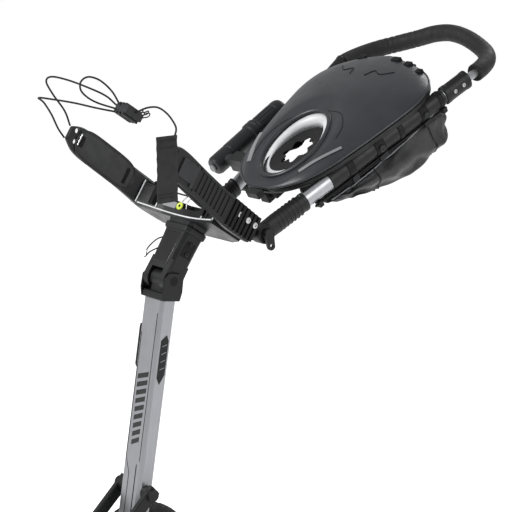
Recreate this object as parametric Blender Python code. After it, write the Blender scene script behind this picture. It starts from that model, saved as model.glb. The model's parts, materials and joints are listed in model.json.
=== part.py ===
"""Electric golf trolley: a folding three-wheel bag carrier with twin axle motors.

Frame: +Z up, the trolley's front towards -Y, its left side towards +X.
The origin lies on the ground under the middle of the trolley's bounding box.
All lengths are in metres.
"""

import math

import bmesh
import bpy
from mathutils import Vector

GAP = 0.0003  # clearance between pieces that touch

# Main tube and fold joint
FOLD_POINT = Vector((0, -0.110, 0.800))
TUBE_LEAN = math.radians(9.6)
NECK_LEAN = math.radians(33.4)
NECK_LENGTH = 0.108
TUBE_WIDTH, TUBE_DEPTH, TUBE_WALL = 0.056, 0.034, 0.002
TUBE_TOP, TUBE_FOOT = -0.0365, -0.615
EAR_RADIUS, PIN_RADIUS = 0.0215, 0.006
NECK_HALF, TONGUE_HALF = 0.0295, 0.0162

# Handle frame
HANDLE_PIVOT = Vector((0, 0.054, 0.873))
HANDLE_RISE = math.radians(30.8)
PIVOT_HALF, CLAMP_HALF, CLAMP_AT = 0.081, 0.167, 0.475
ROD_RADIUS = 0.005
SIDE_TUBE = (0.0085, 0.0150)  # half width and half height of the oval side tube
GRIP_RADIUS, LOOP_RADIUS = 0.0155, 0.0080

# Console
HOLE_CENTRE, HOLE_HALF = 0.199, (0.054, 0.084)
RIM_LEVEL, LID_CROWN = 0.0240, 0.040
LID_PIVOT_H, LID_THICKNESS = 0.487, 0.0026
LID_TOP_H = 0.315

# Running gear
REAR_AXLE = Vector((0, 0.020, 0.135))
REAR_RADIUS, REAR_TRACK_HALF, TYRE_WIDTH = 0.135, 0.268, 0.046
TYRE_DEPTH, AXLE_TUBE_RADIUS = 0.030, 0.0262
FRONT_AXLE = Vector((0, -0.5095, 0.115))
FRONT_RADIUS, FRONT_WIDTH = 0.115, 0.040
ARM_PIVOT = Vector((0, -0.1745, 0.420))
ARM_HALF, ARM_THICKNESS = 0.043, 0.011

COLOURS = {
    "silver": ((0.46, 0.47, 0.49), 0.38, 0.9),
    "steel": ((0.60, 0.61, 0.62), 0.30, 1.0),
    "black": ((0.030, 0.031, 0.033), 0.45, 0.0),
    "charcoal": ((0.060, 0.064, 0.070), 0.40, 0.0),
    "rubber": ((0.022, 0.022, 0.023), 0.75, 0.0),
    "foam": ((0.028, 0.028, 0.029), 0.85, 0.0),
    "fabric": ((0.020, 0.020, 0.022), 0.90, 0.0),
    "grey": ((0.35, 0.36, 0.37), 0.50, 0.0),
    "board": ((0.05, 0.20, 0.09), 0.55, 0.0),
}


class Frame:
    """A right-handed local frame: at(a, b, c) gives the world point."""

    def __init__(self, origin, x_axis, y_axis, z_axis):
        self.origin = Vector(origin)
        self.axes = [Vector(x_axis), Vector(y_axis), Vector(z_axis)]

    def at(self, a, b, c):
        return self.origin + self.axes[0] * a + self.axes[1] * b + self.axes[2] * c


def leaning(origin, lean):
    """Frame whose z leans back by the angle, with y square to it towards the rear."""
    up = (0, math.sin(lean), math.cos(lean))
    rear = (0, math.cos(lean), -math.sin(lean))
    return Frame(origin, (1, 0, 0), rear, up)


WORLD = Frame((0, 0, 0), (1, 0, 0), (0, 1, 0), (0, 0, 1))
TUBE = leaning(FOLD_POINT, TUBE_LEAN)
NECK = leaning(FOLD_POINT, NECK_LEAN)
BRACKET = leaning(NECK.at(0, 0, NECK_LENGTH), NECK_LEAN)
HANDLE = Frame(
    HANDLE_PIVOT,
    (1, 0, 0),
    (0, math.cos(HANDLE_RISE), math.sin(HANDLE_RISE)),
    (0, -math.sin(HANDLE_RISE), math.cos(HANDLE_RISE)),
)


# ---------------------------------------------------------------- mesh tools


def clear_scene():
    for obj in list(bpy.data.objects):
        bpy.data.objects.remove(obj, do_unlink=True)


def paint(name):
    """The named material, made on first use."""
    material = bpy.data.materials.get(name) or bpy.data.materials.new(name)
    colour, roughness, metallic = COLOURS[name]
    material.use_nodes = True
    shader = material.node_tree.nodes["Principled BSDF"]
    shader.inputs["Base Color"].default_value = (*colour, 1)
    shader.inputs["Roughness"].default_value = roughness
    shader.inputs["Metallic"].default_value = metallic
    material.diffuse_color = (*colour, 1)
    return material


def add_object(name, bm, colour, origin=(0, 0, 0)):
    """Turns the bmesh, given in world space, into an object whose origin is at the point."""
    bmesh.ops.recalc_face_normals(bm, faces=bm.faces)
    bmesh.ops.translate(bm, verts=bm.verts, vec=-Vector(origin))
    mesh = bpy.data.meshes.new(name)
    bm.to_mesh(mesh)
    bm.free()
    mesh.materials.append(paint(colour))
    mesh.shade_smooth()
    mesh.set_sharp_from_angle(angle=math.radians(35))
    obj = bpy.data.objects.new(name, mesh)
    obj.location = origin
    bpy.context.scene.collection.objects.link(obj)
    return obj


def loft(rings):
    """Solid through the rings of points, capped at both ends."""
    bm = bmesh.new()
    rows = [[bm.verts.new(point) for point in ring] for ring in rings]
    count = len(rows[0])
    for lower, upper in zip(rows, rows[1:]):
        for i in range(count):
            j = (i + 1) % count
            bm.faces.new((lower[i], lower[j], upper[j], upper[i]))
    bm.faces.new(list(reversed(rows[0])))
    bm.faces.new(rows[-1])
    return bm


def pipe(outer, inner):
    """Open tube: outer and inner rings of the same count, joined at both ends."""
    bm = bmesh.new()
    loops = outer + list(reversed(inner))
    rows = [[bm.verts.new(point) for point in ring] for ring in loops]
    count = len(rows[0])
    for k, lower in enumerate(rows):
        upper = rows[(k + 1) % len(rows)]
        for i in range(count):
            j = (i + 1) % count
            bm.faces.new((lower[i], lower[j], upper[j], upper[i]))
    return bm


def prism(outline, frame, low, high):
    """Extrudes an outline of (a, b) points along the frame's z from low to high."""
    return loft([[frame.at(a, b, c) for a, b in outline] for c in (low, high)])


def side_prism(outline, frame, left, right):
    """Extrudes an outline of (b, c) points along the frame's x from left to right."""
    return loft([[frame.at(a, b, c) for b, c in outline] for a in (left, right)])


def block(frame, low, high):
    outline = [(low[0], low[1]), (high[0], low[1]), (high[0], high[1]), (low[0], high[1])]
    return prism(outline, frame, low[2], high[2])


def axis_frame(origin, axis):
    """Frame whose z runs along the axis."""
    along = Vector(axis).normalized()
    side = Vector((0, 0, 1)) if abs(along.z) < 0.9 else Vector((1, 0, 0))
    x_axis = side.cross(along).normalized()
    return Frame(origin, x_axis, along.cross(x_axis), along)


def turned(origin, axis, profile, steps):
    """Solid of revolution. The profile lists (radius, along) points: a closed loop
    when no radius is zero, or a line from the axis to the axis."""
    frame = axis_frame(origin, axis)
    bm = bmesh.new()
    rows = []
    for radius, along in profile:
        if radius < 1e-7:
            rows.append([bm.verts.new(frame.at(0, 0, along))])
            continue
        angles = [2 * math.pi * i / steps for i in range(steps)]
        ring = [frame.at(radius * math.cos(a), radius * math.sin(a), along) for a in angles]
        rows.append([bm.verts.new(point) for point in ring])
    ring_shape = all(len(row) > 1 for row in rows)
    pairs = list(zip(rows, rows[1:] + rows[:1])) if ring_shape else list(zip(rows, rows[1:]))
    for lower, upper in pairs:
        for i in range(steps):
            j = (i + 1) % steps
            if len(lower) == 1:
                bm.faces.new((lower[0], upper[j], upper[i]))
            elif len(upper) == 1:
                bm.faces.new((lower[i], lower[j], upper[0]))
            else:
                bm.faces.new((lower[i], lower[j], upper[j], upper[i]))
    return bm


def rod(start, end, radius, steps=12):
    length = (Vector(end) - Vector(start)).length
    axis = Vector(end) - Vector(start)
    return turned(start, axis, [(0, 0), (radius, 0), (radius, length), (0, length)], steps)


def combine(obj, tool_bm, operation):
    """Applies an exact Boolean between the object and the tool mesh."""
    tool = add_object("tool", tool_bm, "black")
    modifier = obj.modifiers.new("combine", "BOOLEAN")
    modifier.operation = operation
    modifier.solver = "EXACT"
    modifier.object = tool
    graph = bpy.context.evaluated_depsgraph_get()
    mesh = bpy.data.meshes.new_from_object(obj.evaluated_get(graph))
    obj.modifiers.clear()
    old = obj.data
    obj.data = mesh
    bpy.data.meshes.remove(old)
    bpy.data.objects.remove(tool, do_unlink=True)
    mesh.set_sharp_from_angle(angle=math.radians(35))
    return obj


def join(obj, *tools):
    for tool in tools:
        combine(obj, tool, "UNION")
    return obj


def cut(obj, *tools):
    for tool in tools:
        combine(obj, tool, "DIFFERENCE")
    return obj


def oval(half_a, half_b, count, power=1.0):
    """Points of an oval; a power under 1 squares it off."""
    points = []
    for i in range(count):
        angle = 2 * math.pi * (i + 0.5) / count
        c, s = math.cos(angle), math.sin(angle)
        a = half_a * math.copysign(abs(c) ** power, c)
        b = half_b * math.copysign(abs(s) ** power, s)
        points.append((a, b))
    return points


def chamfered(half_a, half_b, cut_by):
    """Rectangle with its four corners cut off."""
    a, b, c = half_a, half_b, cut_by
    right = [(a - c, -b), (a, -b + c), (a, b - c), (a - c, b)]
    return right + [(-x, -y) for x, y in right]


def arc(centre, radius, start, end, count):
    """Points on an arc between two angles in degrees."""
    points = []
    for i in range(count + 1):
        angle = math.radians(start + (end - start) * i / count)
        points.append((centre[0] + radius * math.cos(angle), centre[1] + radius * math.sin(angle)))
    return points


def smooth_path(points, steps):
    """Catmull-Rom curve through the points."""
    points = [Vector(p) for p in points]
    padded = [2 * points[0] - points[1]] + points + [2 * points[-1] - points[-2]]
    path = []
    for p0, p1, p2, p3 in zip(padded, padded[1:], padded[2:], padded[3:]):
        for i in range(steps):
            t = i / steps
            path.append(
                0.5 * (2 * p1 + (p2 - p0) * t + (2 * p0 - 5 * p1 + 4 * p2 - p3) * t**2)
                + 0.5 * (3 * p1 - p0 - 3 * p2 + p3) * t**3
            )
    path.append(points[-1])
    return path


def path_rings(path, half_side, half_up, steps, up):
    """Rings round the path; the ring's up side stays near the given direction."""
    rings = []
    for i, point in enumerate(path):
        along = (path[min(i + 1, len(path) - 1)] - path[max(i - 1, 0)]).normalized()
        side = along.cross(Vector(up)).normalized()
        top = side.cross(along)
        ring = []
        for a, b in oval(half_side, half_up, steps):
            ring.append(point + side * a + top * b)
        rings.append(ring)
    return rings


# ---------------------------------------------------------------- main frame


def tube_section(inset):
    return chamfered(TUBE_WIDTH / 2 - inset, TUBE_DEPTH / 2 - inset, 0.006 - inset / 2)


def make_main_tube():
    outer = [[TUBE.at(a, b, s) for a, b in tube_section(0)] for s in (TUBE_FOOT, TUBE_TOP)]
    inner = [[TUBE.at(a, b, s) for a, b in tube_section(TUBE_WALL)] for s in (TUBE_FOOT, TUBE_TOP)]
    add_object("main_tube", pipe(outer, inner), "silver")


def make_fold_joint():
    """Tongue on the tube's head between the two cheeks of the neck, on one pin."""
    depth = TUBE_DEPTH / 2 + 0.002
    shoulder = TUBE_TOP + GAP
    profile = [(-depth, shoulder), (depth, shoulder), (depth, -0.0250), (0.0165, -0.0232)]
    profile += [(-0.0165, -0.0232), (-depth, -0.0262)]
    lower = side_prism(profile, TUBE, -NECK_HALF, NECK_HALF)
    lower = add_object("lower_fold_housing", lower, "black", FOLD_POINT)
    tongue = [(-0.0115, -0.0320), (0.0115, -0.0320)] + arc((0, 0), 0.0165, -45, 225, 12)
    join(lower, side_prism(tongue, TUBE, -TONGUE_HALF, TONGUE_HALF))
    spigot = chamfered(TUBE_WIDTH / 2 - TUBE_WALL - GAP, TUBE_DEPTH / 2 - TUBE_WALL - GAP, 0.005)
    join(lower, prism(spigot, TUBE, TUBE_TOP - 0.060, TUBE_TOP + 0.004))
    cut(lower, rod(TUBE.at(-0.05, 0, 0), TUBE.at(0.05, 0, 0), PIN_RADIUS + GAP, 16))

    cheeks = arc((0, 0), EAR_RADIUS, 180, 360, 12) + [(0.0205, 0.034), (-0.0205, 0.034)]
    cheeks = side_prism(cheeks, NECK, -NECK_HALF, NECK_HALF)
    upper = add_object("upper_fold_housing", cheeks, "black", FOLD_POINT)
    # distance along the neck, half width, half depth
    sections = [(0.0150, 0.0300, 0.0209), (0.036, 0.0304, 0.0212)]
    sections += [(0.078, 0.0318, 0.0218), (0.1005, 0.0335, 0.0225)]
    neck = [[NECK.at(a, b, s) for a, b in chamfered(w, d, 0.006)] for s, w, d in sections]
    join(upper, loft(neck))
    slot = [(-0.06, 0.0140)] + arc((0, 0), 0.0182, 130, -25, 10)
    slot += [(0.06, -0.0077), (0.06, -0.06), (-0.06, -0.06)]
    cut(upper, side_prism(slot, NECK, -TONGUE_HALF - 2 * GAP, TONGUE_HALF + 2 * GAP))
    cut(upper, rod(NECK.at(-0.05, 0, 0), NECK.at(0.05, 0, 0), PIN_RADIUS + GAP, 16))

    seat, head = 0.0300 + GAP, 0.0335
    profile = [(0, -head), (0.0095, -head), (0.0095, -seat), (PIN_RADIUS, -seat)]
    profile += [(PIN_RADIUS, seat), (0.0095, seat), (0.0095, head), (0, head)]
    add_object("fold_pin", turned(FOLD_POINT, (1, 0, 0), profile, 16), "steel", FOLD_POINT)


def make_chassis():
    hub = [(-0.245, 0.125), (-0.215, 0.100), (-0.150, 0.095), (-0.020, 0.100), (-0.020, 0.163)]
    hub += [(-0.150, 0.166), (-0.172, 0.230), (-0.232, 0.240)]
    shell = add_object("chassis_shell", side_prism(hub, WORLD, -0.037, 0.037), "black")
    socket = chamfered(TUBE_WIDTH / 2 + GAP, TUBE_DEPTH / 2 + GAP, 0.0057)
    cut(shell, prism(socket, TUBE, TUBE_FOOT - GAP, TUBE_FOOT + 0.12))
    cut(shell, block(WORLD, (-0.028, -0.140, 0.128), (0.028, -0.034, 0.30)))
    saddle = [(-0.030, 0.100), (0.02, 0.100), (0.02, 0.1645), (-0.030, 0.1645)]
    join(shell, side_prism(saddle, WORLD, -0.037, 0.037))
    across = Vector((0.06, 0, 0))
    cut(shell, rod(REAR_AXLE - across, REAR_AXLE + across, AXLE_TUBE_RADIUS + GAP, 24))

    board = block(WORLD, (-0.024, -0.132, 0.134), (0.024, -0.044, 0.1365))
    board = add_object("controller_board", board, "board")
    chips = [(-0.016, -0.120, 0.014), (-0.016, -0.095, 0.010), (0.004, -0.120, 0.012), (0.002, -0.080, 0.016)]
    for x, y, size in chips:
        join(board, block(WORLD, (x, y, 0.1360), (x + size, y + size, 0.142)))

    cover = block(WORLD, (-0.0365, -0.1475, 0.1672), (0.0365, -0.0215, 0.1702))
    add_object("chassis_cover", cover, "charcoal")


def make_battery():
    tray = add_object("battery_tray", block(WORLD, (-0.098, -0.130, 0.1706), (0.098, 0.085, 0.198)), "black")
    cut(tray, block(WORLD, (-0.094, -0.126, 0.1756), (0.094, 0.081, 0.21)))
    low, high = (-0.0925, -0.1245, 0.1762), (0.0925, 0.0795, 0.262)
    half_x, half_y = (high[0] - low[0]) / 2, (high[1] - low[1]) / 2
    mid_y = (high[1] + low[1]) / 2
    levels = [(low[2], 0.003), (low[2] + 0.006, 0), (high[2] - 0.010, 0), (high[2], 0.008)]
    rings = []
    for z, inset in levels:
        rings.append([Vector((a, mid_y + b, z)) for a, b in chamfered(half_x - inset, half_y - inset, 0.018)])
    add_object("battery_pack", loft(rings), "charcoal")
    add_object("battery_handle", battery_bail(mid_y), "black")


def battery_bail(mid_y):
    """Moulded carrying bail: a flat arch standing on the battery."""
    outer = arc((-0.036, 0.268), 0.024, 180, 90, 4) + arc((0.036, 0.268), 0.024, 90, 0, 4)
    inner = arc((0.036, 0.268), 0.015, 0, 90, 4) + arc((-0.036, 0.268), 0.015, 90, 180, 4)
    base = 0.2623
    outline = [(-0.060, base)] + outer + [(0.060, base), (0.051, base)] + inner + [(-0.051, base)]
    return loft([[Vector((x, y, z)) for x, z in outline] for y in (mid_y - 0.011, mid_y + 0.011)])


def make_power_button():
    """Push button in a round boss on the front of the chassis shell."""
    seat, ahead = Vector((0, -0.226, 0.170)), (0, -1, 0)
    shell = bpy.data.objects["chassis_shell"]
    join(shell, turned(seat, ahead, [(0, -0.01), (0.0125, -0.01), (0.0125, 0.021), (0, 0.021)], 20))
    cut(shell, turned(seat, ahead, [(0, 0.012), (0.0092, 0.012), (0.0092, 0.03), (0, 0.03)], 20))
    profile = [(0, 0.0155), (0.0088, 0.0155), (0.0088, 0.0225), (0.0078, 0.0235), (0, 0.0235)]
    add_object("power_button", turned(seat, ahead, profile, 20), "grey", seat)


# ---------------------------------------------------------------- running gear


def wheel_profile(radius, width):
    """Tyre cross-section, a closed loop of (radius, along)."""
    half = width / 2
    side = [(radius - TYRE_DEPTH, half - 0.006), (radius - 0.014, half)]
    side += [(radius - 0.005, half - 0.005), (radius, half - 0.014)]
    return [(r, -along) for r, along in side] + list(reversed(side))


def make_tyre(name, centre, radius, width, steps):
    add_object(name, turned(centre, (1, 0, 0), wheel_profile(radius, width), steps), "rubber", centre)


def make_rim(name, centre, radius, width, bore, hub, spokes, steps):
    """Rim band, hub and spokes in one moulding."""
    outer = radius - TYRE_DEPTH - GAP
    half = width / 2 - 0.007
    band = [(outer - 0.008, -half), (outer, -half), (outer, half), (outer - 0.008, half)]
    rim = add_object(name, turned(centre, (1, 0, 0), band, steps), "charcoal", centre)
    frame = axis_frame(centre, (1, 0, 0))
    reach = outer - 0.004
    for i in range(spokes):
        angle = 2 * math.pi * i / spokes
        turn = Frame(
            centre,
            frame.axes[0] * math.cos(angle) + frame.axes[1] * math.sin(angle),
            frame.axes[1] * math.cos(angle) - frame.axes[0] * math.sin(angle),
            frame.axes[2],
        )
        outline = [(hub * 0.6, -0.011), (reach, -0.007), (reach, 0.007), (hub * 0.6, 0.011)]
        join(rim, prism(outline, turn, -0.005, 0.005))
    join(rim, turned(centre, (1, 0, 0), [(0, -half), (hub, -half), (hub, half), (0, half)], 20))
    cut(rim, turned(centre, (1, 0, 0), [(0, -0.05), (bore + GAP, -0.05), (bore + GAP, 0.05), (0, 0.05)], 16))


def make_rear_wheels():
    steps = 24
    for side, sign in (("left", 1), ("right", -1)):
        centre = REAR_AXLE + Vector((sign * REAR_TRACK_HALF, 0, 0))
        make_tyre(f"{side}_tyre", centre, REAR_RADIUS, TYRE_WIDTH, steps)
        make_rim(f"{side}_rim", centre, REAR_RADIUS, TYRE_WIDTH, 0.006, 0.024, 6, steps)
        out = (sign, 0, 0)
        shaft = [(0, -0.130), (0.006, -0.130), (0.006, 0.0125), (0, 0.0125)]
        add_object(f"{side}_drive_shaft", turned(centre, out, shaft, 14), "steel", centre)
        rim = bpy.data.objects[f"{side}_rim"]
        cut(rim, turned(centre, out, [(0, 0.0128), (0.0155, 0.0128), (0.0155, 0.03), (0, 0.03)], 20))
        button = [(0, 0.0160), (0.0151, 0.0160), (0.0151, 0.0205), (0.0125, 0.0222), (0, 0.0222)]
        add_object(f"{side}_release_button", turned(centre, out, button, 20), "grey", centre)
        unit = [(0, 0.012), (0.0225, 0.012), (0.0225, 0.115), (0.0205, 0.1155)]
        unit += [(0.0205, 0.163), (0.0115, 0.163), (0.0115, 0.130), (0, 0.130)]
        add_object(f"{side}_drive_unit", turned(REAR_AXLE, out, unit, 16), "steel")
    half = 0.228
    inner = AXLE_TUBE_RADIUS - 0.003
    profile = [(inner, -half), (AXLE_TUBE_RADIUS, -half), (AXLE_TUBE_RADIUS, half), (inner, half)]
    add_object("rear_axle_tube", turned(REAR_AXLE, (1, 0, 0), profile, 24), "silver")


def arm_path():
    """Centre line of a front arm in (y, z), from the pivot to the front axle."""
    middle = [(-0.250, 0.353), (-0.340, 0.275), (-0.420, 0.205), (-0.465, 0.160)]
    return [(ARM_PIVOT.y, ARM_PIVOT.z)] + middle + [(FRONT_AXLE.y, FRONT_AXLE.z)]


def make_front_arm():
    path = arm_path()
    half_heights = (0.0125, 0.0110, 0.0125, 0.0140, 0.0120, 0.0130)
    for side, sign in (("left", 1), ("right", -1)):
        rings = []
        for i, (y, z) in enumerate(path):
            y0, z0 = path[max(i - 1, 0)]
            y1, z1 = path[min(i + 1, len(path) - 1)]
            along = Vector((0, y1 - y0, z1 - z0)).normalized()
            up = Vector((0, -along.z, along.y))
            if up.z < 0:
                up = -up
            centre = Vector((sign * ARM_HALF, y, z))
            if i in (0, len(path) - 1):
                centre += along * (-0.012 if i == 0 else 0.012)
            section = chamfered(ARM_THICKNESS / 2, half_heights[i], 0.002)
            rings.append([centre + Vector((a, 0, 0)) + up * b for a, b in section])
        arm = add_object(f"front_arm_{side}", loft(rings), "black", ARM_PIVOT)
        boss = [(0, TUBE_WIDTH / 2 + GAP), (0.0135, TUBE_WIDTH / 2 + GAP), (0.0135, ARM_HALF), (0, ARM_HALF)]
        join(arm, turned(ARM_PIVOT, (sign, 0, 0), boss, 18))
        for centre, bore in ((ARM_PIVOT, 0.0055), (FRONT_AXLE, 0.0045)):
            cut(arm, rod(centre + Vector((-0.1, 0, 0)), centre + Vector((0.1, 0, 0)), bore + GAP, 14))
    half = ARM_HALF + ARM_THICKNESS / 2 + GAP
    ends = half + 0.0045
    profile = [(0, -ends), (0.0115, -ends), (0.0115, -half), (0.0055, -half)]
    profile += [(0.0055, half), (0.0115, half), (0.0115, ends), (0, ends)]
    add_object("arm_pivot_pin", turned(ARM_PIVOT, (1, 0, 0), profile, 18), "black", ARM_PIVOT)
    profile = [(0, -ends), (0.008, -ends), (0.008, -half), (0.0045, -half)]
    profile += [(0.0045, half), (0.008, half), (0.008, ends), (0, ends)]
    add_object("front_axle", turned(FRONT_AXLE, (1, 0, 0), profile, 16), "steel", FRONT_AXLE)
    tube = bpy.data.objects["main_tube"]
    cut(tube, rod(ARM_PIVOT + Vector((-0.1, 0, 0)), ARM_PIVOT + Vector((0.1, 0, 0)), 0.0055 + GAP, 14))


def make_front_wheel():
    make_tyre("front_tyre", FRONT_AXLE, FRONT_RADIUS, FRONT_WIDTH, 24)
    make_rim("front_rim", FRONT_AXLE, FRONT_RADIUS, FRONT_WIDTH, 0.0045, 0.020, 5, 24)


def make_lower_support():
    """Base plate for the bag's foot, bridging the two front arms, with a back rest."""
    support = leaning((0, -0.412, 0.300), math.radians(17.5))
    half = 0.105
    rear_edge = [(half, 0.020), (0.07, 0.044), (-0.07, 0.044), (-half, 0.020)]
    outline = arc((0, -0.030), half, 180, 360, 12) + rear_edge
    plate = add_object("lower_bag_support", prism(outline, support, 0, 0.007), "black")
    for sign in (1, -1):
        lug = [(0.036, 0.006), (-0.085, 0.006), (-0.060, -0.056), (-0.010, -0.050)]
        inside = ARM_HALF - ARM_THICKNESS / 2 - GAP
        low, high = sorted((sign * inside, sign * (inside - 0.006)))
        join(plate, side_prism(lug, support, low, high))
        wall = [(-0.040, 0.002), (0.018, 0.002), (0.018, 0.045), (-0.010, 0.060), (-0.040, 0.030)]
        low, high = sorted((sign * (half - 0.0005), sign * (half - 0.006)))
        join(plate, side_prism(wall, support, low, high))
    for side, sign in (("left", 1), ("right", -1)):
        inner = half - 0.006 - GAP
        pad = [(-0.034, 0.012), (0.014, 0.012), (0.014, 0.042), (-0.010, 0.054), (-0.034, 0.030)]
        low, high = sorted((sign * inner, sign * (inner - 0.004)))
        add_object(f"lower_pad_{side}", side_prism(pad, support, low, high), "rubber")


# ---------------------------------------------------------------- upper bracket


def make_bag_bracket():
    """Cradle that the bag leans on, open in front, with ears for the handle behind."""
    front = [(-0.112, -0.045), (-0.085, -0.038), (-0.050, -0.029), (-0.018, -0.024)]
    front += [(-x, y) for x, y in reversed(front)]
    outline = front + [(0.112, 0.030), (0.075, 0.048), (-0.075, 0.048), (-0.112, 0.030)]
    bracket = add_object("bag_bracket", prism(outline, BRACKET, 0, 0.046), "black")
    pocket = [(x * 0.91, y + 0.007) for x, y in front]
    pocket += [(0.100, 0.022), (0.068, 0.040), (-0.068, 0.040), (-0.100, 0.022)]
    cut(bracket, prism(pocket, BRACKET, 0.008, 0.06))
    ramp = [(-0.055, -0.060), (0.055, -0.060), (0.045, -0.010), (-0.045, -0.010)]
    cut(bracket, prism(ramp, BRACKET, 0.020, 0.06))
    collar = ((-0.0072, 0.0335, 0.0225), (0.004, 0.036, 0.0235))
    join(bracket, loft([[BRACKET.at(a, b, s) for a, b in chamfered(w, d, 0.007)] for s, w, d in collar]))
    pivot_y, pivot_z = 0.0965, 0.0445
    for sign in (1, -1):
        ear = [(0.030, 0.004), (0.060, 0.010)] + arc((pivot_y, pivot_z), 0.016, -60, 120, 8)
        ear += [(0.030, 0.040)]
        low, high = sorted((sign * 0.0585, sign * 0.0685))
        join(bracket, side_prism(ear, BRACKET, low, high))
    cut(bracket, rod(HANDLE.at(-0.1, 0, 0), HANDLE.at(0.1, 0, 0), ROD_RADIUS + GAP, 14))


ARM_SECTIONS = [
    # centre x, forward, up, half thickness, half height
    (0.1240, -0.034, 0.028, 0.0100, 0.025),
    (0.1250, 0.020, 0.030, 0.0110, 0.027),
    (0.1270, 0.060, 0.034, 0.0085, 0.026),
    (0.1340, 0.120, 0.041, 0.0060, 0.025),
    (0.1410, 0.180, 0.047, 0.0050, 0.026),
    (0.1455, 0.220, 0.052, 0.0045, 0.020),
]


PAD_THICKNESS = 0.004
PAD_STATIONS = ((0.064, 0.018), (0.078, 0.027), (0.120, 0.0285), (0.180, 0.0290), (0.204, 0.0270))


def arm_at(forward):
    """Interpolated arm section (centre x, up, half thickness, half height)."""
    for low, high in zip(ARM_SECTIONS, ARM_SECTIONS[1:]):
        if low[1] <= forward <= high[1]:
            t = (forward - low[1]) / (high[1] - low[1])
            return [low[i] + (high[i] - low[i]) * t for i in (0, 2, 3, 4)]
    return None


def make_bracket_arms():
    for side, sign in (("left", 1), ("right", -1)):
        rings = []
        for x, forward, up, thick, tall in ARM_SECTIONS:
            outline = chamfered(thick, tall, thick * 0.4)
            rings.append([BRACKET.at(sign * (x + a), -forward, up + b) for a, b in outline])
        arm = add_object(f"bracket_arm_{side}", loft(rings), "black")
        for forward, up, radius in ((0.212, 0.064, 0.0055), (0.203, 0.043, 0.0050)):
            start, end = BRACKET.at(sign * 0.10, -forward, up), BRACKET.at(sign * 0.18, -forward, up)
            cut(arm, rod(start, end, radius, 12))
        rings = []
        for forward, tall in PAD_STATIONS:
            x, up, thick, _ = arm_at(forward)
            centre = x - thick - 2 * GAP - PAD_THICKNESS / 2
            outline = chamfered(PAD_THICKNESS / 2, tall, 0.0012)
            rings.append([BRACKET.at(sign * (centre + a), -forward, up + b) for a, b in outline])
        add_object(f"arm_pad_{side}", loft(rings), "rubber")


def make_strap_and_hook():
    top = BRACKET.at(0.1515, -0.2415, 0.073)
    low_z = top.z - 0.112
    strap = block(WORLD, (0.1503, top.y - 0.0215, low_z), (0.1526, top.y + 0.0215, top.z))
    add_object("hanging_strap", strap, "rubber")
    hook = add_object("strap_hook", block(BRACKET, (-0.016, -0.244, 0.100), (0.018, -0.206, 0.114)), "black")
    for x in (-0.012, -0.003, 0.006):
        join(hook, block(BRACKET, (x, -0.2435, 0.096), (x + 0.005, -0.2065, 0.118)))


CORDS = {
    "cord_far": [
        (-0.1465, 0.2235, 0.064), (-0.143, 0.250, 0.080), (-0.134, 0.293, 0.091), (-0.121, 0.325, 0.100),
        (-0.108, 0.329, 0.109), (-0.088, 0.312, 0.115), (-0.062, 0.286, 0.118), (-0.036, 0.259, 0.118),
        (-0.0180, 0.241, 0.1105),
    ],
    "cord_front": [
        (-0.1465, 0.2235, 0.040), (-0.143, 0.246, 0.047), (-0.135, 0.277, 0.060), (-0.122, 0.310, 0.067),
        (-0.105, 0.334, 0.065), (-0.088, 0.317, 0.073), (-0.062, 0.291, 0.083), (-0.040, 0.264, 0.091),
        (-0.0180, 0.232, 0.1020),
    ],
    "cord_loop": [
        (-0.006, 0.2455, 0.1120), (-0.012, 0.266, 0.127), (-0.024, 0.287, 0.135), (-0.036, 0.305, 0.130),
        (-0.042, 0.312, 0.117), (-0.040, 0.306, 0.104), (-0.034, 0.290, 0.0985), (-0.024, 0.271, 0.0985),
        (-0.012, 0.2455, 0.1030),
    ],
    "cord_near": [
        (0.0195, 0.225, 0.110), (0.034, 0.219, 0.124), (0.054, 0.214, 0.130), (0.080, 0.211, 0.124),
        (0.105, 0.209, 0.112), (0.128, 0.213, 0.098), (0.1440, 0.221, 0.0785),
    ],
}
CORD_RADIUS = 0.0017


def make_cords():
    """Elastic cords between the right arm, the hook and the left arm."""
    for name, points in CORDS.items():
        path = smooth_path([BRACKET.at(x, -n, u) for x, n, u in points], 3)
        curve = bpy.data.curves.new(name, "CURVE")
        curve.dimensions = "3D"
        curve.bevel_depth = CORD_RADIUS
        curve.bevel_resolution = 2
        curve.use_fill_caps = True
        curve.render_resolution_u = 0
        spline = curve.splines.new("POLY")
        spline.points.add(len(path) - 1)
        for point, place in zip(spline.points, path):
            point.co = (*place, 1)
        curve.materials.append(paint("rubber"))
        bpy.context.scene.collection.objects.link(bpy.data.objects.new(name, curve))


# ---------------------------------------------------------------- handle frame


def tube_centre(h):
    return PIVOT_HALF + (CLAMP_HALF - PIVOT_HALF) * h / CLAMP_AT


def side_rings(sign, stations):
    """Rings of an oval section at stations of (h, half width, half height)."""
    rings = []
    for h, half_x, half_k in stations:
        rings.append([HANDLE.at(sign * (tube_centre(h) + a), h, b) for a, b in oval(half_x, half_k, 12)])
    return rings


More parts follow.
